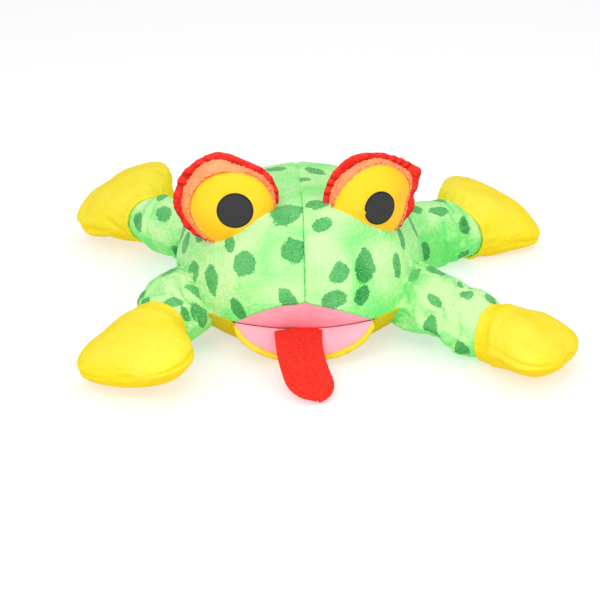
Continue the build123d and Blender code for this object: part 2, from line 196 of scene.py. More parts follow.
def keep_modifiers(piece):
    """The piece's modifiers become its mesh."""
    graph = bpy.context.evaluated_depsgraph_get()
    made = bpy.data.meshes.new_from_object(
        piece.evaluated_get(graph), preserve_all_data_layers=True, depsgraph=graph
    )
    piece.modifiers.clear()
    old = piece.data
    piece.data = made
    bpy.data.meshes.remove(old)
    piece.data.shade_smooth()


def refine(piece):
    """One Catmull-Clark subdivision, kept."""
    modifier = piece.modifiers.new("Refine", "SUBSURF")
    modifier.levels = modifier.render_levels = 1
    keep_modifiers(piece)


def thicken(piece, thickness=CLOTH):
    """A surface becomes a closed sheet of cloth, thickened inwards."""
    modifier = piece.modifiers.new("Cloth thickness", "SOLIDIFY")
    modifier.thickness = thickness * MM
    modifier.offset = -1
    modifier.use_even_offset = False
    keep_modifiers(piece)


def inflate(piece, held, pressure, cap, growth, bending=0.4):
    """Cloth simulation: the piece swells from inside, held fast at some points, and moves by at most cap."""
    frames, stiffness = 20, 12.0
    scene = bpy.context.scene
    before = points_of(piece)
    group = piece.vertex_groups.new(name="held")
    for index in np.flatnonzero(held > 0):
        group.add([int(index)], float(held[index]), "REPLACE")
    cloth = piece.modifiers.new("Cloth", "CLOTH")
    for key, value in {
        "quality": 6, "mass": 0.25, "tension_stiffness": stiffness, "compression_stiffness": stiffness,
        "shear_stiffness": stiffness / 2, "bending_stiffness": bending, "use_pressure": True,
        "uniform_pressure_force": pressure, "shrink_min": -growth, "vertex_group_mass": "held",
    }.items():
        setattr(cloth.settings, key, value)
    cloth.settings.effector_weights.gravity = 0
    cloth.point_cache.frame_start = 1
    cloth.point_cache.frame_end = frames
    for number in range(1, frames + 1):
        scene.frame_set(number)
    keep_modifiers(piece)
    scene.frame_set(1)
    moved = points_of(piece) - before
    length = np.linalg.norm(moved, axis=1, keepdims=True)
    move_points(piece, before + moved * np.minimum(1, cap / np.maximum(length, 1e-9)))
    piece.vertex_groups.clear()


def ring(name, grid):
    """A closed, subdivided ring from a grid whose rows go round it and whose columns go round its section."""
    piece = sheet(name, grid, wrap=True, closed=True)
    outward(piece)
    refine(piece)
    return piece


def panel(name, grid, thickness=CLOTH, turned=True, fine=True, holed=False, swell=None, values=(), ground=None,
          **ends):
    """A closed sheet of cloth through a grid of points.

    It can be cut for the rear opening, swelled by simulation, given numbers for the material to read, and
    flattened where it rests on the ground, over the given height.
    """
    piece = sheet(name, grid, **ends)
    if turned:
        outward(piece)
    if holed:
        cut_hand_hole(piece)
    if swell:
        inflate(piece, **swell)
    if fine:
        refine(piece)
    for key, rule in values:
        set_value(piece, key, rule(points_of(piece)))
    thicken(piece, thickness)
    if ground:
        points = points_of(piece)
        z = points[:, 2]
        points[:, 2] = np.where(z < ground, np.clip(z + ground, 0, None) ** 2 / (4 * ground), z)
        move_points(piece, points)
    return piece


# ---- printed spots
def spot_field(points, normals, spots):
    """How far each point is from the nearest printed spot, as a share of the spot's size: 1 is its edge.

    A spot is (x, y, z, half length, half width, lean, taper). Its lean turns it clockwise from upright,
    seen from outside, and a taper above 0 makes its top end narrow, as a drop.
    """
    nearest = np.full(len(points), 9.0)
    for x, y, z, half_length, half_width, lean, taper in spots:
        place = np.array([x, y, z], float)
        reach = np.linalg.norm(points - place, axis=1)
        near = np.flatnonzero(reach < 2.2 * half_length + 4)  # the rest can't be on the spot
        if len(near) == 0:
            continue
        out = unit(normals[near[np.argmin(reach[near])]])
        side = unit(np.cross(UP, out))
        turn = np.radians(lean)
        along = np.cross(out, side) * np.cos(turn) + side * -np.sin(turn)
        across = np.cross(along, out)
        offset = points[near] - place
        u = offset @ along / half_length
        v = offset @ across / (half_width * np.clip(1 - taper * u, 0.25, 1.6))
        w = np.clip(np.abs(offset @ out) / (1.3 * half_length) - 0.6, 0, None)  # cloth that turns away
        nearest[near] = np.minimum(nearest[near], np.sqrt(u * u + v * v + w * w))
    return nearest


def printed(spots, middle):
    """The panel's number for spots on cloth that faces away from a point."""
    return "spot", lambda points: spot_field(points, unit(points - middle), spots)


# ---- limbs' places
def middle_of(node):
    """Mean of a CAD node's points, in millimetres."""
    co = np.array([v.co for v in frame["nodes"][node].data.vertices], float)
    return co.mean(axis=0) / MM


def limb_place(kind, side):
    """Root, wrist and mitt directions of a limb, all read from the frame."""
    tip, top, bend, ball = {"arm": ("mitt", "shoulder", "wrist", 21.0), "leg": ("foot", "hip", "ankle", 22.5)}[kind]
    end, across = joint(f"{bend}_{side}")
    along = middle_of(f"{tip}_cover_{side}") - end
    along = unit(along - (along @ across) * across)
    return {
        "kind": kind, "side": side, "tip": tip, "root": joint(f"{top}_swing_{side}")[0], "end": end,
        "along": along, "across": across, "thick": np.cross(across, along), "ball": ball,
        **LIMB_FORM[f"{kind}_{side}"],
    }


# Sleeve's radius, how far it hangs below its axis and the depth of its folds; then the mitt's extra
# half widths on its two sides, share of the usual thickness and length, start of its cuff and dip.
LIMB_FORM = {
    "arm_right": {"tube": 19.6, "hang": 0.0, "slack": 2.3, "wider": (0.0, 5.5), "plump": 1.0, "reach": 1.0,
                  "cuff": 3.5, "dip": 0.0},
    "arm_left": {"tube": 20.2, "hang": 1.2, "slack": 0.9, "wider": (0.0, 0.0), "plump": 0.92, "reach": 0.97,
                 "cuff": 5.5, "dip": 6.5},
    "leg_right": {"tube": 20.5, "hang": 0.0, "slack": 1.1, "wider": (2.0, 7.0), "plump": 1.06, "reach": 1.17,
                  "cuff": 0.0, "dip": 0.0},
    "leg_left": {"tube": 23.3, "hang": 2.4, "slack": 0.9, "wider": (11.0, 4.0), "plump": 1.05, "reach": 1.0,
                 "cuff": 0.0, "dip": 5.0},
}
LIMBS = {
    f"{kind}_{side}": limb_place(kind, side)
    for kind in ("arm", "leg") for side in ("right", "left")
}


# ---- trunk
def trunk_outline():
    """Radius and height along the trunk's outline, from the middle of the belly to the crown."""
    belly_radius = WAIST - BELLY_FLAT
    crown_angle = np.radians(12)
    crown_radius = SIDE_RADIUS + SIDE_CENTRE / np.sin(crown_angle)
    crown_centre = SHOULDER_Z - SIDE_CENTRE / np.tan(crown_angle)
    flat = np.linspace(0, BELLY_FLAT, 60)
    belly = np.linspace(0, np.pi / 2, 200)
    side = np.linspace(0, np.pi / 2 - crown_angle, 400)
    crown = np.linspace(crown_angle, 0, 100)
    radius = np.concatenate([
        flat,
        BELLY_FLAT + belly_radius * np.sin(belly),
        SIDE_CENTRE + SIDE_RADIUS * np.cos(side),
        crown_radius * np.sin(crown),
    ])
    height = np.concatenate([
        0 * flat,
        SHOULDER_Z - belly_radius * np.cos(belly),
        SHOULDER_Z + SIDE_RADIUS * np.sin(side),
        crown_centre + crown_radius * np.cos(crown),
    ])
    run = np.concatenate([[0], np.cumsum(np.hypot(np.diff(radius), np.diff(height)))])
    even = np.linspace(0, run[-1], 1200)
    return even, np.interp(even, run, radius), np.interp(even, run, height)


RUN, OUTLINE_R, OUTLINE_Z = trunk_outline()
UPPER = OUTLINE_R > BELLY_FLAT  # the outline's part where the height rises all along
SEAM_RUN = np.interp(SEAM_Z, OUTLINE_Z[UPPER], RUN[UPPER])

LIP_RISE = 20.0  # middle of the upper lip, above the seam
LIP_POWER = {"right": 2.2, "left": 1.6}  # how full the lip's curve is
SWELLINGS = [  # place, height and width of each
    ((0, -48, 97), 5.0, 26),  # forehead
    ((0, -84, 55), 1.5, 24),  # snout
]
for eye in ("right", "left"):
    seat = sum(corners(f"eye_dome_{eye}")) / 2
    SWELLINGS.append(((seat[0] * 0.92, seat[1] + 6, 84.0), 3.0, 20))  # under the eye
    SWELLINGS.append(((seat[0] * 0.50, seat[1] - 1, seat[2] - 9), 5.0, 13))  # brow beside it


def trunk_points(azimuth, run):
    """Points of the trunk's skin; azimuth 0 is the front (-Y) and a quarter turn is +X."""
    radius = np.interp(run, RUN, OUTLINE_R)
    height = np.interp(run, RUN, OUTLINE_Z)
    return shaped_trunk(np.stack([radius * np.sin(azimuth), -radius * np.cos(azimuth), height], axis=-1))


def about_root(points, limb):
    """How near points are to a limb's side of the trunk, how far outside its root, and their angle round it."""
    along = unit(limb["end"] - limb["root"])
    offset = points - limb["root"]
    ahead = offset @ along
    off_axis = offset - ahead[..., None] * along
    spin = np.arctan2(off_axis @ unit(np.cross(along, UP)), off_axis @ UP)
    return ease(ahead, -30, 0), np.linalg.norm(off_axis, axis=-1) - limb["ball"], spin


def shaped_trunk(points):
    """The dome's departures from a round shape: brow, nose, cheeks, stuffing lumps, gathers and seam."""
    x, y, z = points[..., 0], points[..., 1], points[..., 2]
    high = ease(z, 20, 45)  # 0 on the belly, 1 on the green cloth
    grow = -1.6 * ease(y, 20, 70) * ease(z, 55, 90)  # the rump is flatter
    for place, height, width in SWELLINGS:
        grow = grow + height * bump(np.linalg.norm(points - np.array(place), axis=-1), width)
    grow = grow + high * (0.55 * ripple(points, 46, 3) + 0.16 * ripple(points, 15, 4))
    for limb in LIMBS.values():
        near, beyond, spin = about_root(points, limb)
        flare = 2.4 * bump(beyond - 1, 4.5) - 4.0 * (1 - ease(beyond, -8, -1))
        gathers = 0.55 * np.cos(17 * spin + 2 * np.sin(3 * spin)) * bump(beyond - 6, 6)
        grow = grow + near * (flare + gathers)
    seam = 0.35 * bump(np.abs(x) - 4, 2.5) * high - 0.9 * bump(x, 1.7) * ease(z, 40, 55)
    grow = grow + seam
    return points + unit(points - LOW_MIDDLE) * grow[..., None]


def lip_height(x):
    """Height of the green cloth's lower edge in front, at x across the mouth."""
    share = np.clip(np.abs(x) / MOUTH_HALF, 0, 1)
    power = np.where(x < 0, LIP_POWER["right"], LIP_POWER["left"])
    peak = 1.2 * (bump(x, 3.0) - bump(MOUTH_HALF, 3.0))  # where the seam over the head ends
    return SEAM_Z + LIP_RISE * (1 - share ** power) + peak


def lip_run(azimuth):
    """Outline run of the green cloth's lower edge, at each azimuth."""
    front = np.cos(azimuth) > 0
    run = np.full(azimuth.shape, SEAM_RUN)
    for _ in range(6):
        x = np.interp(run, RUN, OUTLINE_R) * np.sin(azimuth)
        height = np.where(front & (np.abs(x) < MOUTH_HALF), lip_height(x), SEAM_Z)
        run = np.interp(height, OUTLINE_Z[UPPER], RUN[UPPER])
    return run


def rolled_edge(edge, inner_row):
    """Rows that roll a cloth edge inwards, from the hidden end up to the edge itself."""
    size = 1.6
    down = unit(edge - inner_row)
    out = unit(np.cross(down, np.gradient(edge, axis=0)))
    if ((edge - HIGH_MIDDLE) * out).sum() < 0:
        out = -out
    return np.array([edge + size * (down * np.sin(angle) - out * (1 - np.cos(angle)))
                     for angle in np.radians([85, 60, 35, 12])])


def cut_hand_hole(piece):
    """Removes the faces inside the rear opening's ellipse and draws the cut edge onto it."""
    points = points_of(piece)
    spread = (points - HOLE_MIDDLE) / HOLE_HALF
    share = np.where(points[:, 1] > 20, np.hypot(spread[:, 0], spread[:, 2]), 9.0)  # under 1 is inside it
    work = bmesh.new()
    work.from_mesh(piece.data)
    work.verts.ensure_lookup_table()
    gone = [f for f in work.faces if all(share[v.index] < 1 for v in f.verts)]
    rim = {v for f in gone for v in f.verts}
    bmesh.ops.delete(work, geom=gone, context="FACES")
    for v in rim:
        if v.is_valid and v.is_boundary and share[v.index] < 1:
            x, y, z = place = np.array(v.co) / MM  # it stays on the trunk's outline as it moves
            new_x, _, new_z = HOLE_MIDDLE + (place - HOLE_MIDDLE) / max(share[v.index], 0.85)
            slope = np.interp(new_z, OUTLINE_Z, OUTLINE_R) / max(np.interp(z, OUTLINE_Z, OUTLINE_R), 1.0)
            reach = min(np.hypot(x, y) * slope, np.hypot(x, y) + 2)
            v.co = Vector((new_x, np.sqrt(max(reach ** 2 - new_x ** 2, 0)), new_z)) * MM
    work.to_mesh(piece.data)
    work.free()


HEAD_SPOTS = (  # place, half length, half width, lean, taper
    (-9, -50, 95, 12, 8.5, -62, 0.55), (9, -44, 97.5, 7.2, 5.4, 84, 0), (11.6, -58, 90.5, 7.2, 4.8, 104, 0),
    (-7, -71, 79.5, 8.6, 8.2, 20, -0.15), (-38.5, -68, 69.5, 8.4, 8.4, 0, 0), (-47.5, -55, 78, 6, 4, 35, 0),
    (22.5, -76.5, 66, 8, 6, 118, 0.1), (40, -68.5, 67.5, 12, 7.6, -14, 0.35),
    (18.5, -83, 49.7, 9.2, 6.6, 100, 0.15), (-11.2, -84, 51.4, 8.4, 5.4, 38, 0),
    (38, -76.5, 48.5, 7, 5.2, -28, 0), (-60.6, -59, 53, 10.5, 5.4, 22, -0.45), (-72, -44, 53, 7.6, 5.6, 28, 0),
    (-43.5, -74, 38.5, 9, 4.8, 32, 0), (63, -54, 60, 9, 4, -10, 0), (67, -37, 73, 8.5, 3.2, -24, 0),
    (-69, -31, 74.5, 7, 4.4, 76, 0), (-79.5, -18, 63, 8.6, 6.6, 32, 0), (-81, 3, 64, 11.8, 8.2, 18, 0),
    (-75, 20, 70.5, 14, 3.8, 38, 0), (-65, 36, 76, 13, 4.2, 40, 0), (-48.6, 19.6, 94, 7.6, 5.2, 62, 0),
    (-57, -5, 91.5, 6.4, 3.2, 52, 0), (11.5, 13.5, 102, 9, 5.5, 80, 0), (34, 3, 99, 8, 6, 70, 0.2),
    (-16, 22, 101, 8, 6, 30, 0), (3, -4, 103, 5, 3.5, 60, 0), (-30, 46, 89, 9, 6, -30, 0.2),
    (10, 52, 91, 8, 6.5, 15, 0), (-8, 72, 75, 10, 6, 40, 0.2), (34, 38, 91, 9, 5, 50, 0),
    (52, 14, 91, 8, 5.5, -20, 0.2), (66, -12, 83, 7, 5.5, 15, 0), (78, -6, 68, 9.5, 6, -25, 0.2),
    (81, 16, 58, 7.5, 5.5, 30, 0), (66, 34, 74, 10, 6, 20, 0), (44, 60, 74, 8.5, 6.5, -35, 0.1),
    (24, 76, 70, 6, 4.5, 10, 0), (-36, 68, 70, 8, 5, -20, 0), (-56, 56, 62, 9, 6.5, 25, 0),
    (60, 56, 56, 7, 5, 0, 0), (-82, -16, 42, 6.5, 4.5, -20, 0), (84, 8, 40, 7, 5, 25, 0),
    (76, -44, 42, 8, 4.5, 8, 0.2),
)


def back_panel(side, name):
    """One half of the green back and head."""
    azimuth = np.linspace(0.0005, np.pi - 0.0005, 110) * side  # a hair's breadth off the other half
    start = lip_run(azimuth)
    run = start + (RUN[-1] - 1.0 - start) * np.linspace(0, 1, 78)[:, None]
    grid = trunk_points(np.broadcast_to(azimuth, run.shape), run)
    grid = np.concatenate([rolled_edge(grid[0], grid[1]), grid])
    spots = [s for s in HEAD_SPOTS if s[0] * side > 0]
    return panel(name, grid, holed=True, values=[printed(spots, LOW_MIDDLE), ("root_shade", limb_shade)])


def limb_shade(points):
    """How close the trunk's points are to a limb's root, where the cloth is drawn in, 0 to 1; the material paints
    shade there.
    """
    shade = np.zeros(len(points))
    for limb in LIMBS.values():
        near, beyond, _ = about_root(points, limb)
        shade = np.maximum(shade, near * bump(np.maximum(beyond, 0), 7))
    return shade


def belly_panel():
    """The yellow belly: flat on the ground, and up to the green cloth, the jaw and the rear opening."""
    columns = 200
    azimuth = np.linspace(-np.pi, np.pi, columns, endpoint=False)
    top = np.full(columns, SEAM_RUN)
    runs = np.linspace(20, SEAM_RUN, 400)
    for c, a in enumerate(azimuth):  # in front it ends where the jaw's underside begins
        if np.cos(a) > 0.3:
            points = trunk_points(np.full(runs.shape, a), runs)
            share = np.clip(1 - (points[:, 0] / (MOUTH_HALF + 1)) ** 2, 0, None)
            reach = np.hypot(points[:, 1] - FOLD[1], points[:, 2] - FOLD[2])
            inside = (reach < (JAW_REACH + 1.5) * np.sqrt(share)) & (share > 0)
            if inside.any():
                top[c] = runs[np.argmax(inside)]
    run = 3 + (top - 3) * np.linspace(0, 1, 46)[:, None]
    grid = trunk_points(np.broadcast_to(azimuth, run.shape), run)
    closed = np.concatenate([grid, grid[:, :1]], axis=1)
    grid = np.concatenate([grid, rolled_edge(closed[-1], closed[-2])[::-1, :-1]])
    return panel("belly_skin", grid, holed=True, ground=0.6, wrap=True, cap_start=True)


# ---- mouth
JAW_SLOPE = np.radians(58.4)  # of the lower lining, below level
CREASE_SAG = 4.5  # the crease hangs lower in the middle
CREASE_FORWARD = 2.5
JAW_SPAN = np.pi / 2 * 0.985  # turn of the jaw's edge to either side


def lip_curve(spread):
    """Points of the upper lip's green edge at spread -1 to 1 across the mouth."""
    corner_radius = np.interp(SEAM_RUN, RUN, OUTLINE_R)
    azimuth = np.arcsin(MOUTH_HALF * 0.995 / corner_radius) * spread
    return trunk_points(azimuth, lip_run(azimuth))


def crease_curve(spread):
    """Points of the fold between the two mouth linings, at spread -1 to 1 from corner to corner."""
    corner = lip_curve(np.array([-1.0, 1.0]))
    crease = corner[0] + (corner[1] - corner[0]) * (spread[:, None] + 1) / 2
    sag = 1 - spread ** 2
    crease[:, 1] -= CREASE_FORWARD * sag
    crease[:, 2] -= CREASE_SAG * sag + 0.6
    return crease


def jaw_lip(turn, reach, half, slope=JAW_SLOPE):
    """Points of the half-ellipse about the fold; turn runs from -90 to 90 degrees."""
    x = half * np.sin(turn)
    depth = reach * np.cos(turn)
    return np.stack([x, FOLD[1] - depth * np.cos(slope), FOLD[2] - depth * np.sin(slope)], axis=-1)


def mouth_lining(name, crease, lip, puff, facing):
    """A lining from the crease to the lip, puffed; puff gives its height from the share of the way and the grid."""
    share = np.linspace(0, 1, 26)[:, None]
    grid = crease * (1 - share[..., None]) + lip * share[..., None]
    return panel(name, grid + unit(facing) * puff(share, grid)[..., None], 1.0, turned=False)


def upper_lining():
    """Pink roof of the mouth, slightly puffed, with a soft fold down its middle."""
    spread = np.linspace(-1, 1, 91)
    lip = lip_curve(spread)
    lip = lip + unit(np.array([0.0, 0.0, 45.0]) - lip) * 1.5 - np.array([0, 0, 0.5])

    def puff(share, grid):
        rise = np.sin(np.pi * share) ** 0.8
        fade = 1 - spread ** 4
        return rise * (1.8 * fade - 0.7 * bump(spread * MOUTH_HALF - 3, 2.2) + 0.35 * ripple(grid, 12, 21) * fade)

    return mouth_lining("mouth_lining_upper", crease_curve(spread), lip, puff, (0, -0.8, -0.6))


def lower_lining():
    """Pale pink half-moon on the jaw."""
    turn = np.linspace(-np.pi / 2, np.pi / 2, 91)

    def puff(share, grid):
        return (2.0 * np.sin(np.pi * share) + 0.35 * ripple(grid, 13, 22)) * np.cos(turn)

    return mouth_lining("mouth_lining_lower", crease_curve(np.sin(turn)) - (0, 0, 0.9),
                        jaw_lip(turn, JAW_REACH - 1.2, MOUTH_HALF - 1.6), puff,
                        (0, -np.sin(JAW_SLOPE), np.cos(JAW_SLOPE)))


def tube(name, path, radius, count=16):
    """A round cord along a path, closed at its ends; radius may differ from point to point."""
    ahead = unit(np.gradient(path, axis=0))
    side = unit(np.cross(ahead, UP + 0.001))
    angle = around(count)[None, :, None]
    section = side[:, None] * np.cos(angle) + np.cross(side, ahead)[:, None] * np.sin(angle)
    grid = path[:, None] + section * np.broadcast_to(radius, len(path))[:, None, None]
    return sheet(name, grid, wrap=True, cap_start=True, cap_end=True)


def jaw_hem():
    """Rolled yellow edge round the lower lip."""
    turn = np.linspace(-JAW_SPAN, JAW_SPAN, 260)
    path = jaw_lip(turn, JAW_REACH - 0.6, MOUTH_HALF - 0.4) + np.array([0, -0.4, 0.8])
    path[:, 2] = np.maximum(path[:, 2], 2.3)  # clear of the ground
    ribs = 0.14 * np.sin(np.arange(len(path)) * 1.9) + 0.2 * ripple(path, 9, 31)
    return tube("jaw_hem", path, 2.1 * np.clip(np.cos(turn) * 6, 0.45, 1) + ribs)


def chin():
    """Yellow underside of the jaw, from the lower lip back to the belly."""
    turn = np.linspace(-JAW_SPAN, JAW_SPAN, 90)
    grid = np.array([jaw_lip(turn, JAW_REACH, MOUTH_HALF - 0.6, JAW_SLOPE + back)
                     for back in np.radians(np.linspace(-2, 112, 44))])
    away = unit((grid - FOLD) * (0, 1, 1) + 1e-6)
    return panel("jaw_underside", grid + away * (0.3 * ripple(grid, 17, 33))[..., None], 1.2, ground=0.6)


def tongue():
    """Red felt strip with a rounded end, gently arched."""
    root = joint("tongue_flap")[0]
    tip = np.array([6.0, corners("tongue")[0][1], 2.2])
    half, arch, sway = 16.0, 2.0, 3.6  # half width, rise and sideways bend in the middle
    length = np.linalg.norm(tip - root)
    across = -unit(np.cross(tip - root, UP))
    w = np.linspace(-1, 1, 33)
    rows = []
    for s in np.linspace(-0.02, 1, 70):
        gap = max(0.0, s * length - (length - half * 1.1)) / (half * 1.1)
        wide = max(half * np.sqrt(max(0.0, 1 - gap ** 2.2)) * (1 - 0.05 * np.sin(np.pi * s)), 0.3)
        s = max(s, 0.0)
        middle = root + (tip - root) * s + np.array([-sway, 0, arch]) * np.sin(np.pi * s)
        row = middle + across * (w * wide)[:, None]
        row[:, 2] += 1.0 * (1 - w ** 2) - 0.5 + 0.5 * np.sin(3.2 * s + 1.4 * w) * s  # crowned and wavy
        rows.append(row)
    piece = panel("felt_tongue", np.array(rows), 1.9, turned=False)
    outward(piece)
    points = points_of(piece)
    points[:, 2] = np.maximum(points[:, 2], 0.3)
    move_points(piece, points)
    return piece


def crease_cord():
    """Seam where the two linings fold; its darker pink is painted shade in the crease."""
    return tube("mouth_crease", crease_curve(np.linspace(-0.97, 0.97, 80)) + np.array([0, 1.2, -0.3]), 1.0, 10)


# ---- eyes
EYES = {
    "right": {"turn": -3.0, "lift": -1.5, "pupil": (-2.5, 1.8), "pupil_size": (12.0, 12.0), "nick": 0.0},
    "left": {"turn": 17.0, "lift": 0.0, "pupil": (-0.3, -2.2), "pupil_size": (10.7, 11.8), "nick": 0.11},
}
# Outlines round each eye's middle: angle from the side away from the nose towards the top, and radius.
EYE_OUTLINES = {
    "right": {
        "dome": ((0, 27.8), (45, 26.6), (90, 25.4), (135, 27.2), (180, 28.2), (225, 27), (270, 26), (315, 26.6)),
        "band": ((-90, 28.4), (-54, 31), (-25, 32.8), (-8, 34), (8, 33.4), (26, 34), (46, 34.6), (62, 34.8),
                 (76, 32.6), (90, 29.2), (110, 28.2), (140, 29), (170, 29.4), (215, 28.6)),
        "trim": ((-90, 30), (-51, 33.6), (-27, 36), (-10, 38.2), (5, 39.4), (24, 39.4), (40, 38.6), (61, 37.8),
                 (78, 37.8), (88, 35), (98, 32.4), (116, 31.6), (139, 32.8), (168, 31.2), (215, 30)),
    },
    "left": {
        "dome": ((-172, 30.5), (-140, 29), (-100, 28.5), (-75, 29), (-58, 27.6), (-38, 25), (-20, 23.2), (-5, 22.8),
                 (8, 24.4), (22, 26), (53, 25.2), (83, 25.2), (126, 24.6), (163, 27.2)),
        "band": ((-172, 31.6), (-140, 30), (-100, 29.8), (-75, 30), (-58, 28.8), (-38, 26.6), (-20, 25), (-5, 24.9),
                 (7, 27.4), (17, 31), (28, 31), (54, 27.4), (86, 26.8), (122, 27.4), (141, 28.4), (168, 29.8)),
        "trim": ((-172, 33), (-140, 31.4), (-100, 31.2), (-70, 32), (-43, 29.8), (-20, 29), (2, 32.2), (12, 36.6),
                 (23, 39), (40, 33), (62, 31), (88, 30.4), (115, 33.4), (138, 34), (156, 33.8), (174, 34)),
    },
}
FOLD_OVER = {"right": 0.0, "left": 7.0}  # how far forward the lower outer edge folds
DOME_BULGE = 14.49  # height of the dome, were it a full half ball
DOME_SHARE = 0.93  # share of that half ball's radius that shows
BAND_DEPTH = 8.0  # from the dome's foot back to the trim


def eye_frame(side):
    """Middle of the eye's disc and the directions away from the nose and forwards."""
    turn = np.radians(EYES[side]["turn"])
    away = np.array([np.cos(turn), np.sin(turn), 0.0]) * (1 if side == "left" else -1)
    low, high = corners(f"eye_dome_{side}")
    middle = np.array([(low[0] + high[0]) / 2, high[1] - 2.0, (low[2] + high[2]) / 2 + EYES[side]["lift"]])
    return middle, away, np.array([np.sin(turn), -np.cos(turn), 0.0])


def eye_place(side, u, v, w):
    """Points at u away from the nose, v up and w forward of the eye's middle."""
    middle, away, facing = eye_frame(side)
    u, v, w = np.broadcast_arrays(u, v, w)
    return middle + u[..., None] * away + v[..., None] * UP + w[..., None] * facing


def eye_edge(side, layer, angle, extra=0.0):
    """Outline of one of an eye's layers at the given angles."""
    degrees, reach = zip(*sorted(EYE_OUTLINES[side][layer]))
    fine = np.arange(-180, 540, 2.0)
    smooth = np.convolve(np.interp(fine, degrees, reach, period=360), np.ones(7) / 7, "same")
    size = np.interp(np.degrees(angle) % 360, fine, smooth) + extra
    return size * np.cos(angle), size * np.sin(angle)


def fold_over(side, angle):
    """How far forward the band and trim lie at the eye's lower outer side."""
    return FOLD_OVER[side] * bump((angle + 0.55 + np.pi) % TAU - np.pi, 0.55)


def dome_height(side, u, v):
    """Height of the satin dome over its disc."""
    edge = np.hypot(*eye_edge(side, "dome", np.arctan2(v, u)))
    share = DOME_SHARE * np.clip(np.hypot(u, v) / edge, 0, 1)
    return DOME_BULGE * (np.sqrt(1 - share ** 2) - np.sqrt(1 - DOME_SHARE ** 2))


def eye_ripple(u, v, size, seed):
    """Small unevenness over an eye's disc."""
    return ripple(np.stack([u, v, 0 * u], -1), size, seed)


def eye_dome(side):
    """Satin dome of the eye."""
    share = np.array([*np.linspace(0.02, 0.94, 26), 0.97, 0.99, 1.0, 1.0])[:, None]
    drop = np.array([0.0] * 27 + [0.25, 0.9, 3.5])[:, None]  # the edge turns back under the band
    u, v = (edge * share for edge in eye_edge(side, "dome", around(96)))
    grid = eye_place(side, u, v, dome_height(side, u, v) - drop + 0.16 * eye_ripple(u, v, 20, 41))
    return panel(f"eye_cloth_{side}", grid, 1.0, wrap=True, cap_start=True)


def eye_pupil(side):
    """Flat dark disc that lies on the dome; the left one has a small nick in its edge."""
    shape = EYES[side]
    u0, v0 = shape["pupil"]
    wide, high = shape["pupil_size"]
    angle = around(128)
    edge = 1 - shape["nick"] * bump(angle - 3.3, 0.10)
    share = np.array([*np.linspace(0.03, 0.97, 16), 1.0, 1.0])[:, None]
    lift = np.array([0.55] * 17 + [-0.4])[:, None]  # its rim goes down into the dome
    u = u0 + wide * share * edge * np.cos(angle)
    v = v0 + high * share * edge * np.sin(angle)
    middle, away, _ = eye_frame(side)

    def rim(points):
        spoke = points - middle
        return np.hypot((spoke @ away - u0) / wide, (spoke @ UP - v0) / high)

    return panel(f"eye_pupil_disc_{side}", eye_place(side, u, v, dome_height(side, u, v) + lift), 0.5, fine=False,
                 values=[("rim", rim)], wrap=True, cap_start=True)


def eye_band(side):
    """Orange plush band, puffed, between the dome and the red trim."""
    angle = around(150)
    outer_u, outer_v = eye_edge(side, "band", angle, 0.5 * np.sin(5 * angle + 1))
    inner_u, inner_v = eye_edge(side, "dome", angle, -0.4)
    width = np.hypot(outer_u - inner_u, outer_v - inner_v)
    t = np.linspace(-0.12, 1.06, 22)[:, None]  # share of the way out; below 0 it is tucked under the dome
    u = inner_u + (outer_u - inner_u) * t
    v = inner_v + (outer_v - inner_v) * t
    out = np.maximum(t, 0)
    puff = np.sin(np.pi * np.clip(t, 0, 1)) * (0.7 + 0.12 * width + 0.6 * eye_ripple(u, v, 7, 43))
    depth = fold_over(side, angle) * out - BAND_DEPTH * out ** 1.6 - 3.0 * (t < 0)
    return panel(f"eye_band_{side}", eye_place(side, u, v, depth + puff), 1.2, wrap=True)


def eye_trim(side):
    """Red trim behind the band, drawn up in gathers: a folded strip with waves and creases."""
    rng = np.random.default_rng(5 if side == "right" else 9)
    angle = around(420)[:, None]
    uneven = [share * np.sin(angle * times + rng.uniform(0, TAU)) for share, times in ((0.5, 3), (0.35, 7))]
    phase = np.cumsum(1 + sum(uneven))[:, None]
    gather = np.sin(phase / phase[-1] * TAU * 21)
    wave = 0.6 * sum(np.sin(angle * times + rng.uniform(0, TAU)) for times in (6, 11))
    inner_u, inner_v = eye_edge(side, "band", angle, -1.6)
    outer_u, outer_v = eye_edge(side, "trim", angle)
    ahead, thick = (1 + np.cos(around(18))) / 2, np.sin(around(18))  # round the strip's section
    pleat = 0.7 * gather * (0.3 + 0.7 * ahead) + wave * 0.8 * ahead
    share = ahead + 0.09 * pleat * ahead
    u = inner_u + (outer_u - inner_u) * share
    v = inner_v + (outer_v - inner_v) * share
    depth = fold_over(side, angle) - BAND_DEPTH - 0.4 + (1.5 + 0.3 * gather) * thick + 0.9 * pleat * ahead
    return ring(f"eye_trim_{side}", eye_place(side, u, v, depth))


def eye_back(side):
    """Green back of the eye, from the trim down to the head."""
    angle = around(110)
    s = np.array([1.0, *np.linspace(0.97, 0.03, 24)])[:, None]
    u, v = (edge * s for edge in eye_edge(side, "band", angle, 0.3))
    depth = fold_over(side, angle) * s ** 4 - BAND_DEPTH - 1.0 - 11.0 * (1 - s ** 2.6) ** 0.8
    grid = eye_place(side, u, v, depth + 0.5 * eye_ripple(u, v, 14, 47) * (1 - s))
    spots = [(*eye_place(side, float(u), float(v), -18.0), 7.5, 5.0, lean, 0.1)
             for u, v, lean in ((18, 14, 20), (-6, 24, 80), (20, -10, -30), (2, 2, 50))]
    return panel(f"eye_back_{side}_skin", grid, wrap=True, cap_end=True, values=[printed(spots, eye_frame(side)[0])])


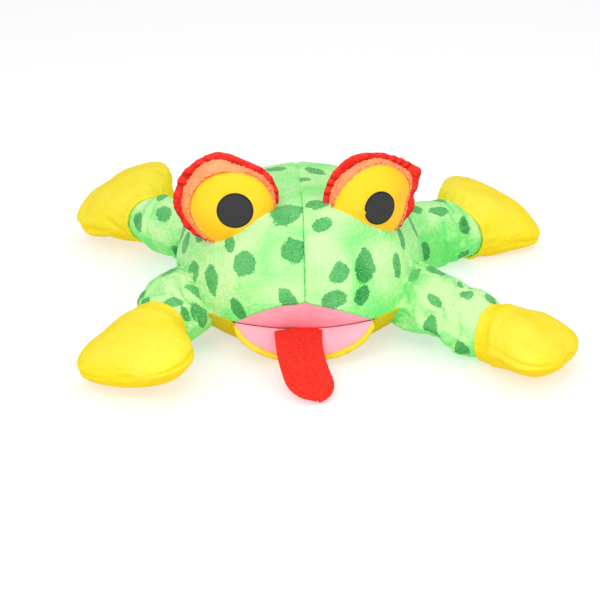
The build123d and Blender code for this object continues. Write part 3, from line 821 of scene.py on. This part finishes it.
# ---- limbs
ROOT_DEPTH = 22.0  # how far a sleeve's root reaches into the trunk
SLEEVE_SHAPE = {  # share of the length, radius as a share of the tube's
    "arm": ((-0.35, 0.95), (0.0, 1.16), (0.3, 1.12), (0.62, 1.08), (0.88, 1.03), (1.0, 0.95)),
    "leg": ((-0.30, 0.90), (0.0, 1.10), (0.3, 1.04), (0.62, 1.00), (0.88, 0.98), (1.0, 0.90)),
}
LIMB_SPOTS = {  # share of the length, turn from the top, half length, half width, lean
    "arm_right": ((0.15, 10, 7, 3.0, 30), (0.30, -48, 8, 3.4, 20), (0.60, 62, 7, 4, 10), (0.80, -30, 7, 3.6, 60),
                  (0.5, -85, 9, 6, 20), (0.78, -62, 6, 3.4, 10), (0.95, 30, 6.5, 4, 80), (0.3, 110, 8, 5.5, 0),
                  (0.85, 130, 7, 5, 40), (0.2, -140, 8, 6, 0)),
    "arm_left": ((0.02, 30, 7, 3.6, 0), (0.12, -8, 8, 6.6, 30), (0.10, -62, 9, 6.5, 10), (0.66, 8, 6, 4.6, 20),
                 (0.42, 52, 6, 3.2, 70), (0.46, -18, 4.4, 2.2, 80), (0.62, -42, 9.5, 3.8, 0),
                 (0.88, -24, 5.5, 4.4, 70), (0.5, 100, 9, 6, 20), (0.9, 120, 7, 5, 0), (0.2, 150, 9, 6, 30)),
    "leg_right": ((0.25, 10, 9, 6.5, 20), (0.5, -40, 8, 6, 60), (0.55, 55, 8.5, 5.5, 0), (0.75, 5, 7, 5, 70),
                  (0.85, -75, 8, 5.5, 30), (0.95, 60, 8, 5, 50), (0.3, 95, 8, 6, 10), (0.7, 140, 8, 6, 0),
                  (0.2, -110, 8, 5, 30)),
    "leg_left": ((0.25, 15, 9, 6, 70), (0.4, -50, 8, 5, 20), (0.55, 25, 8.5, 4.5, 80), (0.68, -20, 8, 5.5, 40),
                 (0.82, 60, 7, 5, 0), (0.9, -60, 8, 5, 50), (0.3, 100, 9, 6, 0), (0.6, -110, 9, 6, 20),
                 (0.85, 130, 7, 5, 30)),
}


def limb_path(limb, shares):
    """Middle of a sleeve and the way it runs: out of the trunk squarely, then on to the wrist or ankle."""
    radial = unit(limb["root"] * (1, 1, 0))
    start = limb["root"] - radial * ROOT_DEPTH
    length = np.linalg.norm(limb["end"] - limb["root"])
    knee = limb["root"] + radial * length * 0.12  # pulls the curve straight out at first
    reach = (shares - shares[0]) / (1 - shares[0])
    t = np.clip(reach, 0, 1)[:, None]
    middle = start * (1 - t) ** 2 + 2 * knee * t * (1 - t) + limb["end"] * t ** 2
    middle = middle + limb["along"] * (np.maximum(reach - 1, 0) * length)[:, None]
    middle = middle - UP * (limb["hang"] * ease(reach, 0.3, 0.6))[:, None]
    return middle, unit(np.gradient(middle, axis=0))


def sleeve(name):
    """Green cloth tube of a limb, from inside the trunk to under the mitt's cuff."""
    limb = LIMBS[name]
    length = np.linalg.norm(limb["end"] - limb["root"])
    seed = 50 + list(LIMBS).index(name)
    tuck = (limb["cuff"] + 7.0) / length  # goes on inside the mitt's cuff
    count = max(34, int((length * (1 + tuck) + ROOT_DEPTH) / 1.9))
    rows_at = np.linspace(-ROOT_DEPTH / length, 1 + tuck, count)
    size = np.interp(rows_at, *zip(*SLEEVE_SHAPE[limb["kind"]]))
    size = np.convolve(np.pad(size, 4, "edge"), np.ones(9) / 9, "valid")
    angle = around(76)
    middle, run = limb_path(limb, rows_at)
    row_side = unit(np.cross(run, UP))
    row_top = np.cross(row_side, run)
    round_run = row_side[:, None] * np.sin(angle)[:, None] + row_top[:, None] * np.cos(angle)[:, None]
    s = rows_at[:, None]
    radius = limb["tube"] * size[:, None] * np.ones(angle.shape)
    grid = middle[:, None] + round_run * radius[..., None]
    lumps = ripple(grid, 24, seed)
    folds = TAU * s * length / 11 + 1.3 * np.sin(angle * 2 + seed) + 2.0 * lumps
    folds = 2 * np.abs(np.sin(folds / 2)) ** 0.8 - 1.3  # round ridges, sharp valleys
    creased = ease(ripple(grid, 30, seed + 9), -0.2, 0.8)  # some patches are folded, others smooth
    under = ease(s * length - length - limb["cuff"], -11, -4)  # share of the way under the mitt's cuff
    cuff_pull = np.cos(angle * 15 + 3 * np.sin(angle * 2)) * ease(s, 0.80, 0.95) * 0.4
    root_pull = np.cos(angle * 14 + 2 * np.sin(angle * 3)) * (1 - ease(s, 0.05, 0.35)) * 0.6
    surface = 0.7 * lumps + limb["slack"] * 0.8 * folds * creased + cuff_pull + root_pull
    radius = radius + surface * (1 - under) - 1.9 * under
    held = under * np.ones(radius.shape)
    held[:3] = 1

    ahead = unit(limb["end"] - limb["root"])
    side = unit(np.cross(ahead, UP))
    top = np.cross(side, ahead)
    spots = []
    for at, turn, half_length, half_width, lean in LIMB_SPOTS[name]:
        out = side * np.sin(np.radians(turn)) + top * np.cos(np.radians(turn))
        place = limb["root"] + ahead * at * length + out * limb["tube"] * 1.05
        spots.append((*place, half_length, half_width, lean, 0.1))

    def spotted(points):
        spokes = points - limb["root"]
        return spot_field(points, unit(spokes - (spokes @ ahead)[:, None] * ahead), spots)

    # Painted shade along the sleeve: 1 at the limb's root, reaching further along on sleeves with deeper folds.
    def root_shade(points):
        return 1 - ease((points - limb["root"]) @ ahead / length, 0.0, 0.2 + 0.35 * min(limb["slack"] / 2, 1))

    return panel(f"{name}_sleeve", middle[:, None] + round_run * radius[..., None], wrap=True, ground=1.0,
                 swell={"held": held.ravel(), "pressure": 3.0, "cap": 2.6, "growth": 0.09},
                 values=[("spot", spotted), ("root_shade", root_shade)])


MITT_OUTLINE = (  # distance from the wrist, half width, half thickness
    (-5.0, 17.6, 17.2), (2.0, 18.2, 17.8), (10.0, 22.5, 19.5), (20.0, 30.5, 20.0), (32.0, 37.0, 18.6),
    (44.0, 37.0, 16.2), (52.0, 32.0, 12.4), (58.0, 22.0, 7.6), (60.5, 10.0, 3.2),
)


def mitt(name):
    """Yellow plush mitt or foot: two cloths sewn round a fan, with a cuff over the sleeve."""
    limb = LIMBS[name]
    notch = 3.0 if limb["kind"] == "leg" else 1.0  # dent in the middle of its end
    at, wide, thick = (np.array(c) for c in zip(*MITT_OUTLINE))
    at = np.where(at < 5, at + limb["cuff"], 10 + (at - 10) * limb["reach"])
    run = np.concatenate([[0], np.cumsum(np.hypot(np.diff(at), np.diff(wide)))])
    even = np.linspace(0, run[-1], 54)
    distance, half_wide, half_thick = (
        np.concatenate([c[:2], np.convolve(c, np.ones(5) / 5, "valid"), c[-2:]])
        for c in (np.interp(even, run, c) for c in (at, wide, thick))
    )
    angle = around(88)
    across, over = np.cos(angle), np.sin(angle)
    fan = ease(distance, 4, 24)
    row_fan = fan[:, None]
    end_curve = -notch * bump(half_wide[:, None] * across / 12, 1.0) * ease(distance, 35, 60)[:, None]
    cuff_gain = limb["tube"] * SLEEVE_SHAPE[limb["kind"]][-1][1] + 0.6 - MITT_OUTLINE[0][1]
    cuff_gain = np.maximum(cuff_gain, 0) * (1 - fan)
    wider = np.where(across > 0, limb["wider"][1], limb["wider"][0]) * ease(distance, -4, 16)[:, None]
    taper = 1 - ease(distance, 50, 62)[:, None]
    u = (half_wide + cuff_gain)[:, None] * np.sign(across) * np.abs(across) ** 0.94 + wider * across * taper
    plump = 1 - (1 - limb["plump"]) * ease(distance, 4, 20)
    v = (half_thick * plump + cuff_gain)[:, None] * over * (1 - 0.10 * np.abs(across) ** 3 * row_fan)
    waist = 1 - 0.05 * bump(over, 0.16) * row_fan  # drawn in along the seam
    lower = limb["hang"] * (1 - ease(distance, 0, 25)) + limb["dip"] * ease(distance, 0, 70)
    grid = (limb["end"] + limb["along"] * (distance[:, None] + end_curve)[..., None]
            + limb["across"] * (u * waist)[..., None] + limb["thick"] * v[..., None]
            - UP * lower[:, None, None])
    lumps = ripple(grid, 26, 70 + list(LIMBS).index(name))
    out = limb["across"] * across[:, None] + limb["thick"] * over[:, None]
    cuff = np.cos(angle * 13 + 2 * np.sin(3 * angle)) * (1 - ease(distance, -2, 12))[:, None]
    grid = grid + out[None] * (0.7 * lumps * row_fan + 0.25 * cuff)[..., None]
    roll = rolled_cuff(grid[0], grid[1])
    grid = np.concatenate([roll, grid])
    held = 0.8 * bump(over, 0.05)[None] * (np.arange(len(grid)) > len(roll) + 6)[:, None]
    held[:len(roll) + 2] = 1
    held[-3:] = np.maximum(held[-3:], 0.4)
    return panel(f"{limb['tip']}_{limb['side']}_cloth", grid, wrap=True, cap_end=True, ground=1.5, swell={
        "held": np.append(held.ravel(), 0.4), "pressure": 4.0, "cap": 2.2, "growth": 0.012, "bending": 4.0})


def rolled_cuff(first, second):
    """Rows that fold the cuff's edge under, ending inside."""
    size = 1.5
    middle = first.mean(axis=0)
    back = unit(middle - second.mean(axis=0))
    inward = unit(middle - first)
    return np.array([first + size * (back * np.sin(angle) + inward * (1 - np.cos(angle)))
                     for angle in np.radians([170, 130, 90, 45])])


# ---- rear opening
def opening_path(grow):
    """Points round the rear opening, lying on the trunk."""
    turn = around(160)
    x = HOLE_MIDDLE[0] + (HOLE_HALF[0] + grow) * np.cos(turn)
    z = HOLE_MIDDLE[2] + (HOLE_HALF[2] + grow) * np.sin(turn)
    run = np.interp(z, OUTLINE_Z[UPPER], RUN[UPPER])
    azimuth = np.pi - np.arcsin(np.clip(x / np.interp(run, RUN, OUTLINE_R), -1, 1))
    return trunk_points(azimuth, run)


def opening_hem():
    """Soft rolled hem round the rear opening."""
    path = opening_path(-0.6)
    ahead = unit(np.roll(path, -1, axis=0) - np.roll(path, 1, axis=0))
    out = unit(path - HIGH_MIDDLE)
    side = unit(np.cross(ahead, out))
    turn = around(18)[None, :, None]
    gathers = 0.28 * np.sin(np.arange(len(path)) * TAU * 34 / len(path)) + 0.3 * ripple(path, 14, 61)
    section = side[:, None] * np.cos(turn) * 1.25 + out[:, None] * np.sin(turn)
    return ring("opening_hem", path[:, None] + section * (2.3 + gathers)[:, None, None])


def glove_lining():
    """Lining of the hand's tunnel, wrinkled, closed in front."""
    rim = opening_path(-1.4)
    middle = rim.mean(axis=0)
    front = corners("hand_lining")[0][1] + 7
    s = np.linspace(0, 1, 44)[:, None]
    grid = middle + (rim - middle) * (1 - 0.10 * s - 0.35 * ease(s, 0.86, 1.0))[..., None]
    grid[..., 1] = rim[:, 1] * (1 - s) + front * s
    wrinkle = 0.8 * ripple(grid, 16, 63) * np.sin(np.pi * np.minimum(1, s * 1.2)) ** 0.5
    grid = grid + unit(grid - grid.mean(axis=1, keepdims=True)) * wrinkle[..., None]
    return panel("glove_lining", grid, 0.9, fine=False, wrap=True, cap_end=True)


# ---- materials
def colour(seen):
    """A colour given as it looks on a screen, from 0 to 255; a socket is passed on as it is."""
    if isinstance(seen, bpy.types.NodeSocket):
        return seen
    share = np.array(seen) / 255
    linear = np.where(share <= 0.04045, share / 12.92, ((share + 0.055) / 1.055) ** 2.4)
    return (*linear.tolist(), 1.0)


class Nodes:
    """Short calls for building one material's node tree."""

    def __init__(self, name):
        self.material = bpy.data.materials.new(name)
        self.material.use_nodes = True
        self.tree = self.material.node_tree
        self.tree.nodes.clear()
        self.here = self.add("TexCoord").outputs["Object"]

    def add(self, kind, inputs=None, **settings):
        node = self.tree.nodes.new("ShaderNode" + kind)
        for key, value in settings.items():
            setattr(node, key, value)
        for key, value in (inputs or {}).items():
            if isinstance(value, bpy.types.NodeSocket):
                self.tree.links.new(value, node.inputs[key])
            else:
                node.inputs[key].default_value = value
        return node

    def value(self, name):
        return self.add("Attribute", attribute_name=name).outputs["Fac"]

    def noise(self, scale, detail=2.0, distortion=0.0, where=None):
        return self.add("TexNoise", {"Vector": where or self.here, "Scale": scale, "Detail": detail,
                                     "Distortion": distortion}).outputs["Fac"]

    def math(self, operation, a, b):
        return self.add("Math", {0: a, 1: b}, operation=operation).outputs[0]

    def times(self, a, b):
        return self.math("MULTIPLY", a, b)

    def plus(self, a, b):
        return self.math("ADD", a, b)

    def centred(self, noise, amount):
        """A noise about 0, of the given amount."""
        return self.times(self.math("SUBTRACT", noise, 0.5), amount)

    def between(self, value, low, high, to_low=0.0, to_high=1.0):
        return self.add("MapRange", {"Value": value, "From Min": low, "From Max": high, "To Min": to_low,
                                     "To Max": to_high}, interpolation_type="SMOOTHSTEP").outputs["Result"]

    def mix(self, share, a, b, **settings):
        return self.add("Mix", {0: share, 6: colour(a), 7: colour(b)}, data_type="RGBA", **settings).outputs[2]

    def shade(self, share, base, value, *reach):
        """The colour darkened and lightened by a value that is spread over a reach."""
        amount = self.between(value, *reach)
        bright = self.add("CombineColor", {0: amount, 1: amount, 2: amount}).outputs[0]
        return self.mix(share, base, bright, blend_type="MULTIPLY")

    def towards(self, direction):
        """How much the surface faces a direction, -1 to 1."""
        normal = self.add("NewGeometry").outputs["Normal"]
        inputs = {0: normal, 1: tuple(unit(direction))}
        return self.add("VectorMath", inputs, operation="DOT_PRODUCT").outputs["Value"]

    def stretched(self, x, y, z):
        return self.add("Mapping", {"Vector": self.here, "Scale": (x, y, z)}).outputs["Vector"]

    def bumped(self, height, depth, strength, below=None):
        inputs = {"Height": height, "Distance": depth, "Strength": strength}
        if below is not None:
            inputs["Normal"] = below
        return self.add("Bump", inputs).outputs["Normal"]

    def finish(self, base, normal, roughness, sheen=0.0, tint=(255, 255, 255), specular=0.3, **more):
        inputs = {"Base Color": base, "Normal": normal, "Roughness": roughness, "Sheen Weight": sheen,
                  "Sheen Roughness": 0.45, "Sheen Tint": colour(tint), "Specular IOR Level": specular}
        inputs.update({key.replace("_", " "): value for key, value in more.items()})
        shader = self.add("BsdfPrincipled", inputs)
        self.tree.links.new(shader.outputs[0], self.add("OutputMaterial").inputs[0])
        return self.material


LIGHT_SIDE = (-0.15, -0.62, 0.77)  # where pile catches the light
# Surfaces facing this way get painted shade.
DOWN = (0, 0, -1)


def pile(n, fine, coarse):
    """Height of short pile, its small brushed tufts and its fine fibres, from their repeats per metre."""
    tufts = n.noise(coarse, 3.0, 0.4)
    fibres = n.noise(fine, 2.0, 0.2)
    return n.plus(n.times(tufts, 0.65), n.times(fibres, 0.35)), tufts, fibres


def green_velour():
    """Short-pile velour, pale where the pile catches the light, with printed speckled spots."""
    n = Nodes("green_velour")
    height, tufts, fibres = pile(n, 1500.0, 480.0)
    patches = n.noise(26.0, 3.0, 0.8)
    # Painted highlight: the cloth turns pale mint where it faces LIGHT_SIDE, in blotchy patches.
    lit = n.plus(n.times(n.towards(LIGHT_SIDE), 0.62), n.times(patches, 1.15))
    painted_sheen = n.between(n.plus(lit, n.centred(fibres, 0.55)), 0.68, 1.26)
    body = n.mix(n.between(patches, 0.35, 0.7), (116, 240, 120), (150, 246, 136))
    cloth = n.mix(painted_sheen, body, (208, 250, 176))
    # Painted shade: a deeper green where the surface faces down.
    low = n.between(n.towards(DOWN), -0.2, 0.9)
    cloth = n.mix(n.times(low, 0.5), cloth, (84, 214, 90))
    # Painted shade: a deeper green, in blotches, beside the limbs' roots and along the start of the sleeves.
    root_shade = n.times(n.value("root_shade"), n.between(n.noise(95.0, 2.0, 1.5), 0.38, 0.62))
    cloth = n.mix(n.times(root_shade, 0.75), cloth, (66, 212, 92))
    ragged = n.plus(n.centred(n.noise(900.0, 2.0), 0.55), n.centred(n.noise(170.0, 1.0), 0.5))
    printed = n.between(n.plus(n.value("spot"), ragged), 1.05, 0.93)
    speck = n.between(n.noise(1250.0, 1.0), 0.50, 0.60)
    cells = n.add("TexVoronoi", {"Vector": n.here, "Scale": 820.0}).outputs["Distance"]
    # Painted highlight on the spots: paler, with pale specks, where the painted sheen falls.
    glint = n.times(n.between(cells, 0.30, 0.12), n.times(painted_sheen, 0.6))
    ink = n.mix(speck, (16, 132, 50), (66, 188, 94))
    ink = n.mix(n.times(painted_sheen, 0.50), ink, (132, 224, 138))
    ink = n.mix(glint, ink, (190, 240, 180))
    base = n.shade(0.5, n.mix(printed, cloth, ink), tufts, 0.25, 0.75, 0.78, 1.12)
    normal = n.bumped(height, 0.00045, 0.8, n.bumped(n.noise(150.0, 2.0, 1.0), 0.0006, 0.35))
    return n.finish(base, normal, n.between(fibres, 0.3, 0.7, 0.68, 0.92), 0.45, (225, 255, 205), 0.25)


def soft_plush(name, body, pale, deep, fine=1300.0, coarse=380.0, depth=0.0006, spread=26.0):
    """Plush of one colour, with a painted highlight, paler where it faces the light, and painted shade, deeper
    underneath.
    """
    n = Nodes(name)
    height, tufts, fibres = pile(n, fine, coarse)
    # Painted highlight: the pale colour where the surface faces LIGHT_SIDE, in soft patches.
    lit = n.plus(n.times(n.towards(LIGHT_SIDE), 0.55), n.noise(spread, 3.0, 0.7))
    base = n.mix(n.between(n.plus(lit, n.centred(fibres, 0.4)), 0.55, 1.25), body, pale)
    # Painted shade: the deep colour where the surface faces down.
    base = n.mix(n.times(n.between(n.towards(DOWN), -0.15, 0.8), 0.75), base, deep)
    base = n.shade(0.4, base, tufts, 0.25, 0.75, 0.90, 1.06)
    normal = n.bumped(height, depth, 0.75, n.bumped(n.noise(120.0, 2.0, 0.8), 0.0006, 0.3))
    return n.finish(base, normal, n.between(fibres, 0.3, 0.7, 0.75, 0.95), 0.28, pale, 0.2)


def felt(name, body, deep):
    """Pressed felt: matted crossing fibres."""
    n = Nodes(name)
    mat = n.noise(700.0, 4.0, 1.5)
    strands = n.noise(900.0, 3.0, 0.5, n.stretched(1.0, 0.25, 1.0))
    base = n.shade(0.4, n.mix(n.between(mat, 0.35, 0.7), deep, body), n.noise(60.0, 2.0), 0.3, 0.7, 0.9, 1.06)
    height = n.plus(n.times(mat, 0.5), n.times(strands, 0.5))
    return n.finish(base, n.bumped(height, 0.0003, 0.6), 0.92, 0.25, (255, 190, 180), 0.15)


def satin_eye():
    """Smooth satin cloth, a little brighter in the middle, where a painted highlight falls on the part facing
    forwards and up.
    """
    n = Nodes("eye_satin")
    weave = n.noise(2200.0, 1.0, 0.0, n.stretched(1.0, 1.0, 0.3))
    patches = n.noise(34.0, 2.0, 0.3)
    # Painted highlight: a brighter yellow where the dome faces forwards and up, deeper towards its edges.
    base = n.mix(n.between(n.towards((-0.1, -0.85, 0.5)), 0.55, 1.0), (255, 190, 4), (255, 214, 16))
    base = n.mix(n.times(n.between(patches, 0.5, 0.75), 0.35), base, (255, 226, 60))
    base = n.shade(0.25, base, weave, 0.3, 0.7, 0.9, 1.05)
    normal = n.bumped(weave, 0.00008, 0.4, n.bumped(n.noise(70.0, 2.0, 0.4), 0.0006, 0.25))
    return n.finish(base, normal, n.between(patches, 0.3, 0.7, 0.48, 0.6), 0.2, (255, 240, 170), 0.35)


def pupil_print():
    """Dark printed disc with a blacker outline."""
    n = Nodes("pupil_print")
    grain = n.noise(900.0, 2.0)
    base = n.mix(n.between(n.value("rim"), 0.90, 0.93), (47, 47, 48), (24, 23, 24))
    base = n.shade(0.4, base, grain, 0.3, 0.7, 0.88, 1.1)
    return n.finish(base, n.bumped(grain, 0.00006, 0.4), n.between(grain, 0.3, 0.7, 0.5, 0.62), 0.05)


def woven(name, body, deep):
    """Plain weave: threads over and under in every direction, 620 to the metre."""
    n = Nodes(name)
    x, y, z = (n.add("TexWave", {"Vector": n.here, "Scale": 620.0 / TAU, "Distortion": 1.5},
                     bands_direction=way).outputs["Fac"] for way in "XYZ")
    weave = n.times(n.plus(n.plus(x, y), z), 0.4)
    base = n.shade(0.3, n.mix(n.between(weave, 0.0, 0.7), deep, body), n.noise(80.0), 0.3, 0.7, 0.9, 1.05)
    return n.finish(base, n.bumped(weave, 0.0002, 0.6), 0.9, 0.15)


PINK_PILE = (1700.0, 520.0, 0.00025)
# Each look's material, its named slot, how far its pile stands out in tufts and how wide the tufts are.
# A soft plush's three colours are its own colour, its painted highlight and its painted shade.
LOOKS = {
    "green": (green_velour(), "green_velour", 0.10, 3.0),
    "yellow": (soft_plush("yellow_plush", (251, 224, 18), (253, 236, 74), (234, 196, 2)), "yellow_plush", 0.11, 2.8),
    "belly": (soft_plush("belly_plush", (236, 208, 4), (246, 222, 30), (186, 158, 2)), "belly_plush", 0.18, 3.2),
    "hem": (soft_plush("hem_plush", (250, 218, 20), (254, 232, 80), (214, 170, 6), spread=60.0),
            "belly_plush", 0.16, 2.6),
    "roof": (soft_plush("pink_velour", (255, 172, 190), (255, 186, 202), (250, 146, 168), *PINK_PILE),
             "pink_velour", 0.05, 3.0),
    "floor_pink": (soft_plush("pale_pink_velour", (252, 172, 188), (255, 188, 202), (244, 140, 160), *PINK_PILE),
                   "pink_velour", 0.05, 3.0),
    # Painted shade: the crease cord's darker pink stands for the shade in the fold between the linings.
    "crease": (soft_plush("crease_shade_pink", (225, 105, 125), (240, 130, 148), (190, 70, 92)), "pink_velour", 0.05, 3.0),
    "felt": (felt("red_felt", (252, 62, 46), (228, 40, 28)), "red_felt", 0.08, 3.0),
    "red": (soft_plush("red_trim_cloth", (226, 34, 28), (246, 66, 52), (150, 10, 12), spread=140.0),
            "red_trim", 0.14, 2.6),
    "orange": (soft_plush("orange_plush", (252, 142, 82), (255, 178, 122), (240, 92, 40),
                          1100.0, 420.0, 0.0009, 60.0), "orange_plush", 0.34, 2.4),
    "satin": (satin_eye(), "eye_yellow", 0.0, 1.0),
    "pupil": (pupil_print(), "pupil_black", 0.0, 1.0),
    "lining": (woven("lining_cloth", (232, 230, 216), (176, 172, 156)), "lining", 0.0, 1.0),
    "board": (felt("board_fleece", (205, 198, 182), (180, 172, 156)), None, 0.0, 1.0),
}


def cover(piece, look):
    piece.data.materials.clear()
    piece.data.materials.append(LOOKS[look][0])


def dress(piece, look, nodes, body="body", bend=None):
    """Raises the pile, gives the piece its cloth, hides the CAD nodes it stands for and ties it to a body; given a
    bend, it bakes its place into its mesh and ties it to no body.

    A bend names the body beyond a joint and the places in millimetres where the cloth would start and end to bend;
    of it only whether it is given is used, and the cloth is not bent.
    """
    _, slot, depth, size = LOOKS[look]
    if depth:
        points = points_of(piece)
        points = points + read(piece, "normal") * (depth * ripple(points, size, 90))[:, None]
        points[:, 2] = np.maximum(points[:, 2], 0.1)
        move_points(piece, points)
    cover(piece, look)
    if nodes:
        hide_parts(*nodes)
    if bend:
        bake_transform(piece)
    else:
        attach(piece, body)


# ---- the whole frog
def build():
    for side, sign in (("left", 1), ("right", -1)):
        dress(back_panel(sign, f"back_skin_{side}"), "green", [f"back_panel_{side}"])
    dress(belly_panel(), "belly", ["belly_panel", "body_stuffing"])
    dress(upper_lining(), "roof", ["upper_mouth_lining"])
    dress(crease_cord(), "crease", ["mouth_fold_tape"])
    dress(lower_lining(), "floor_pink", ["lower_mouth_lining"], bend=("jaw", FOLD, FOLD + (0, -5.0, -8.0)))
    dress(jaw_hem(), "hem", [], "jaw")
    dress(chin(), "hem", ["jaw_cover", "jaw_stuffing"], bend=("jaw", (0, FOLD[1] + 15, 5), (0, FOLD[1] - 11, 5)))
    dress(tongue(), "felt", ["tongue"], "tongue")

    for side in ("right", "left"):
        for make, look, *nodes in (
            (eye_dome, "satin", "dome", "stuffing"), (eye_pupil, "pupil", "pupil"), (eye_band, "orange", "rim"),
            (eye_trim, "red", "ruffle"), (eye_back, "green", "back"),
        ):
            dress(make(side), look, [f"eye_{node}_{side}" for node in nodes])

    for name, limb in LIMBS.items():
        kind, side, tip = limb["kind"], limb["side"], limb["tip"]
        layers = [f"{kind}_{layer}_{side}" for layer in ("sleeve", "stuffing", "seam_tape")]
        dress(sleeve(name), "green", layers, name)
        layers = [f"{tip}_{layer}_{side}" for layer in ("cover", "stuffing")]
        bend = (f"{tip}_{side}", limb["end"] - 5 * limb["along"], limb["end"] + 9 * limb["along"])
        dress(mitt(name), "yellow", layers, name, bend)

    dress(opening_hem(), "hem", ["hem_binding"])
    dress(glove_lining(), "lining", ["hand_lining"])
    for node, look in (("finger_pocket", "lining"), ("thumb_pocket", "lining"), ("upper_mouth_board", "board"),
                       ("lower_mouth_board", "board")):
        cover(frame["nodes"][node], look)


# ---- studio
VIEW_AZIMUTH, VIEW_ELEVATION = -2.5, 26.1  # degrees
VIEW_DISTANCE = 1.10  # metres, as all of the studio
VIEW_LENS = 93.7  # millimetres
VIEW_AIM = np.array([0.0, -0.010, 0.014])
FLOOR = 6.0  # half its side


def stand(name, data, place, target):
    """Puts a lamp or the camera in the scene, turned to its target."""
    made = bpy.data.objects.new(name, data)
    made.location = place
    made.rotation_mode = "QUATERNION"
    made.rotation_quaternion = (Vector(place) - Vector(target)).to_track_quat("Z", "Y")
    bpy.context.scene.collection.objects.link(made)
    return made


def studio():
    """Pale floor, soft lights and the camera."""
    scene = bpy.context.scene
    ground = bpy.data.meshes.new("floor")
    ground.from_pydata([(-FLOOR, -FLOOR, 0), (FLOOR, -FLOOR, 0), (FLOOR, FLOOR, 0), (-FLOOR, FLOOR, 0)], [],
                       [(0, 1, 2, 3)])
    floor = bpy.data.objects.new("floor", ground)
    floor.location.z = -0.0004  # just under the cloth that rests on it
    scene.collection.objects.link(floor)
    paper = Nodes("floor_paper")
    grain = paper.noise(300.0, 2.0)
    base = paper.mix(grain, (194, 194, 194), (202, 202, 202))
    ground.materials.append(paper.finish(base, paper.bumped(grain, 0.0001, 0.2), 0.9,
                                         Emission_Color=(1, 1, 1, 1), Emission_Strength=0.50))

    scene.world = bpy.data.worlds.new("studio")
    scene.world.use_nodes = True
    background = scene.world.node_tree.nodes["Background"]
    background.inputs["Color"].default_value = (1, 1, 1, 1)
    background.inputs["Strength"].default_value = 0.52

    for name, place, size, power in (
        ("key", (-0.55, -0.95, 1.25), 1.1, 8.5),
        ("fill", (0.95, -0.75, 0.8), 1.2, 4.0),
        ("top", (0.1, 0.25, 1.5), 1.4, 6.0),
        ("front", (-0.05, -1.2, 0.22), 0.7, 2.0),
    ):
        lamp = bpy.data.lights.new(name, "AREA")
        lamp.size, lamp.energy = size, power
        stand(name, lamp, place, (0, 0, 0.05))

    lens = bpy.data.cameras.new("camera")
    lens.lens, lens.sensor_width = VIEW_LENS, 36.0
    azimuth, elevation = np.radians(VIEW_AZIMUTH), np.radians(VIEW_ELEVATION)
    back = np.array([np.sin(azimuth) * np.cos(elevation), -np.cos(azimuth) * np.cos(elevation), np.sin(elevation)])
    scene.camera = stand("camera", lens, VIEW_AIM + back * VIEW_DISTANCE, VIEW_AIM)
    scene.view_settings.view_transform = "Standard"
    scene.view_settings.look = "None"


build()
studio()
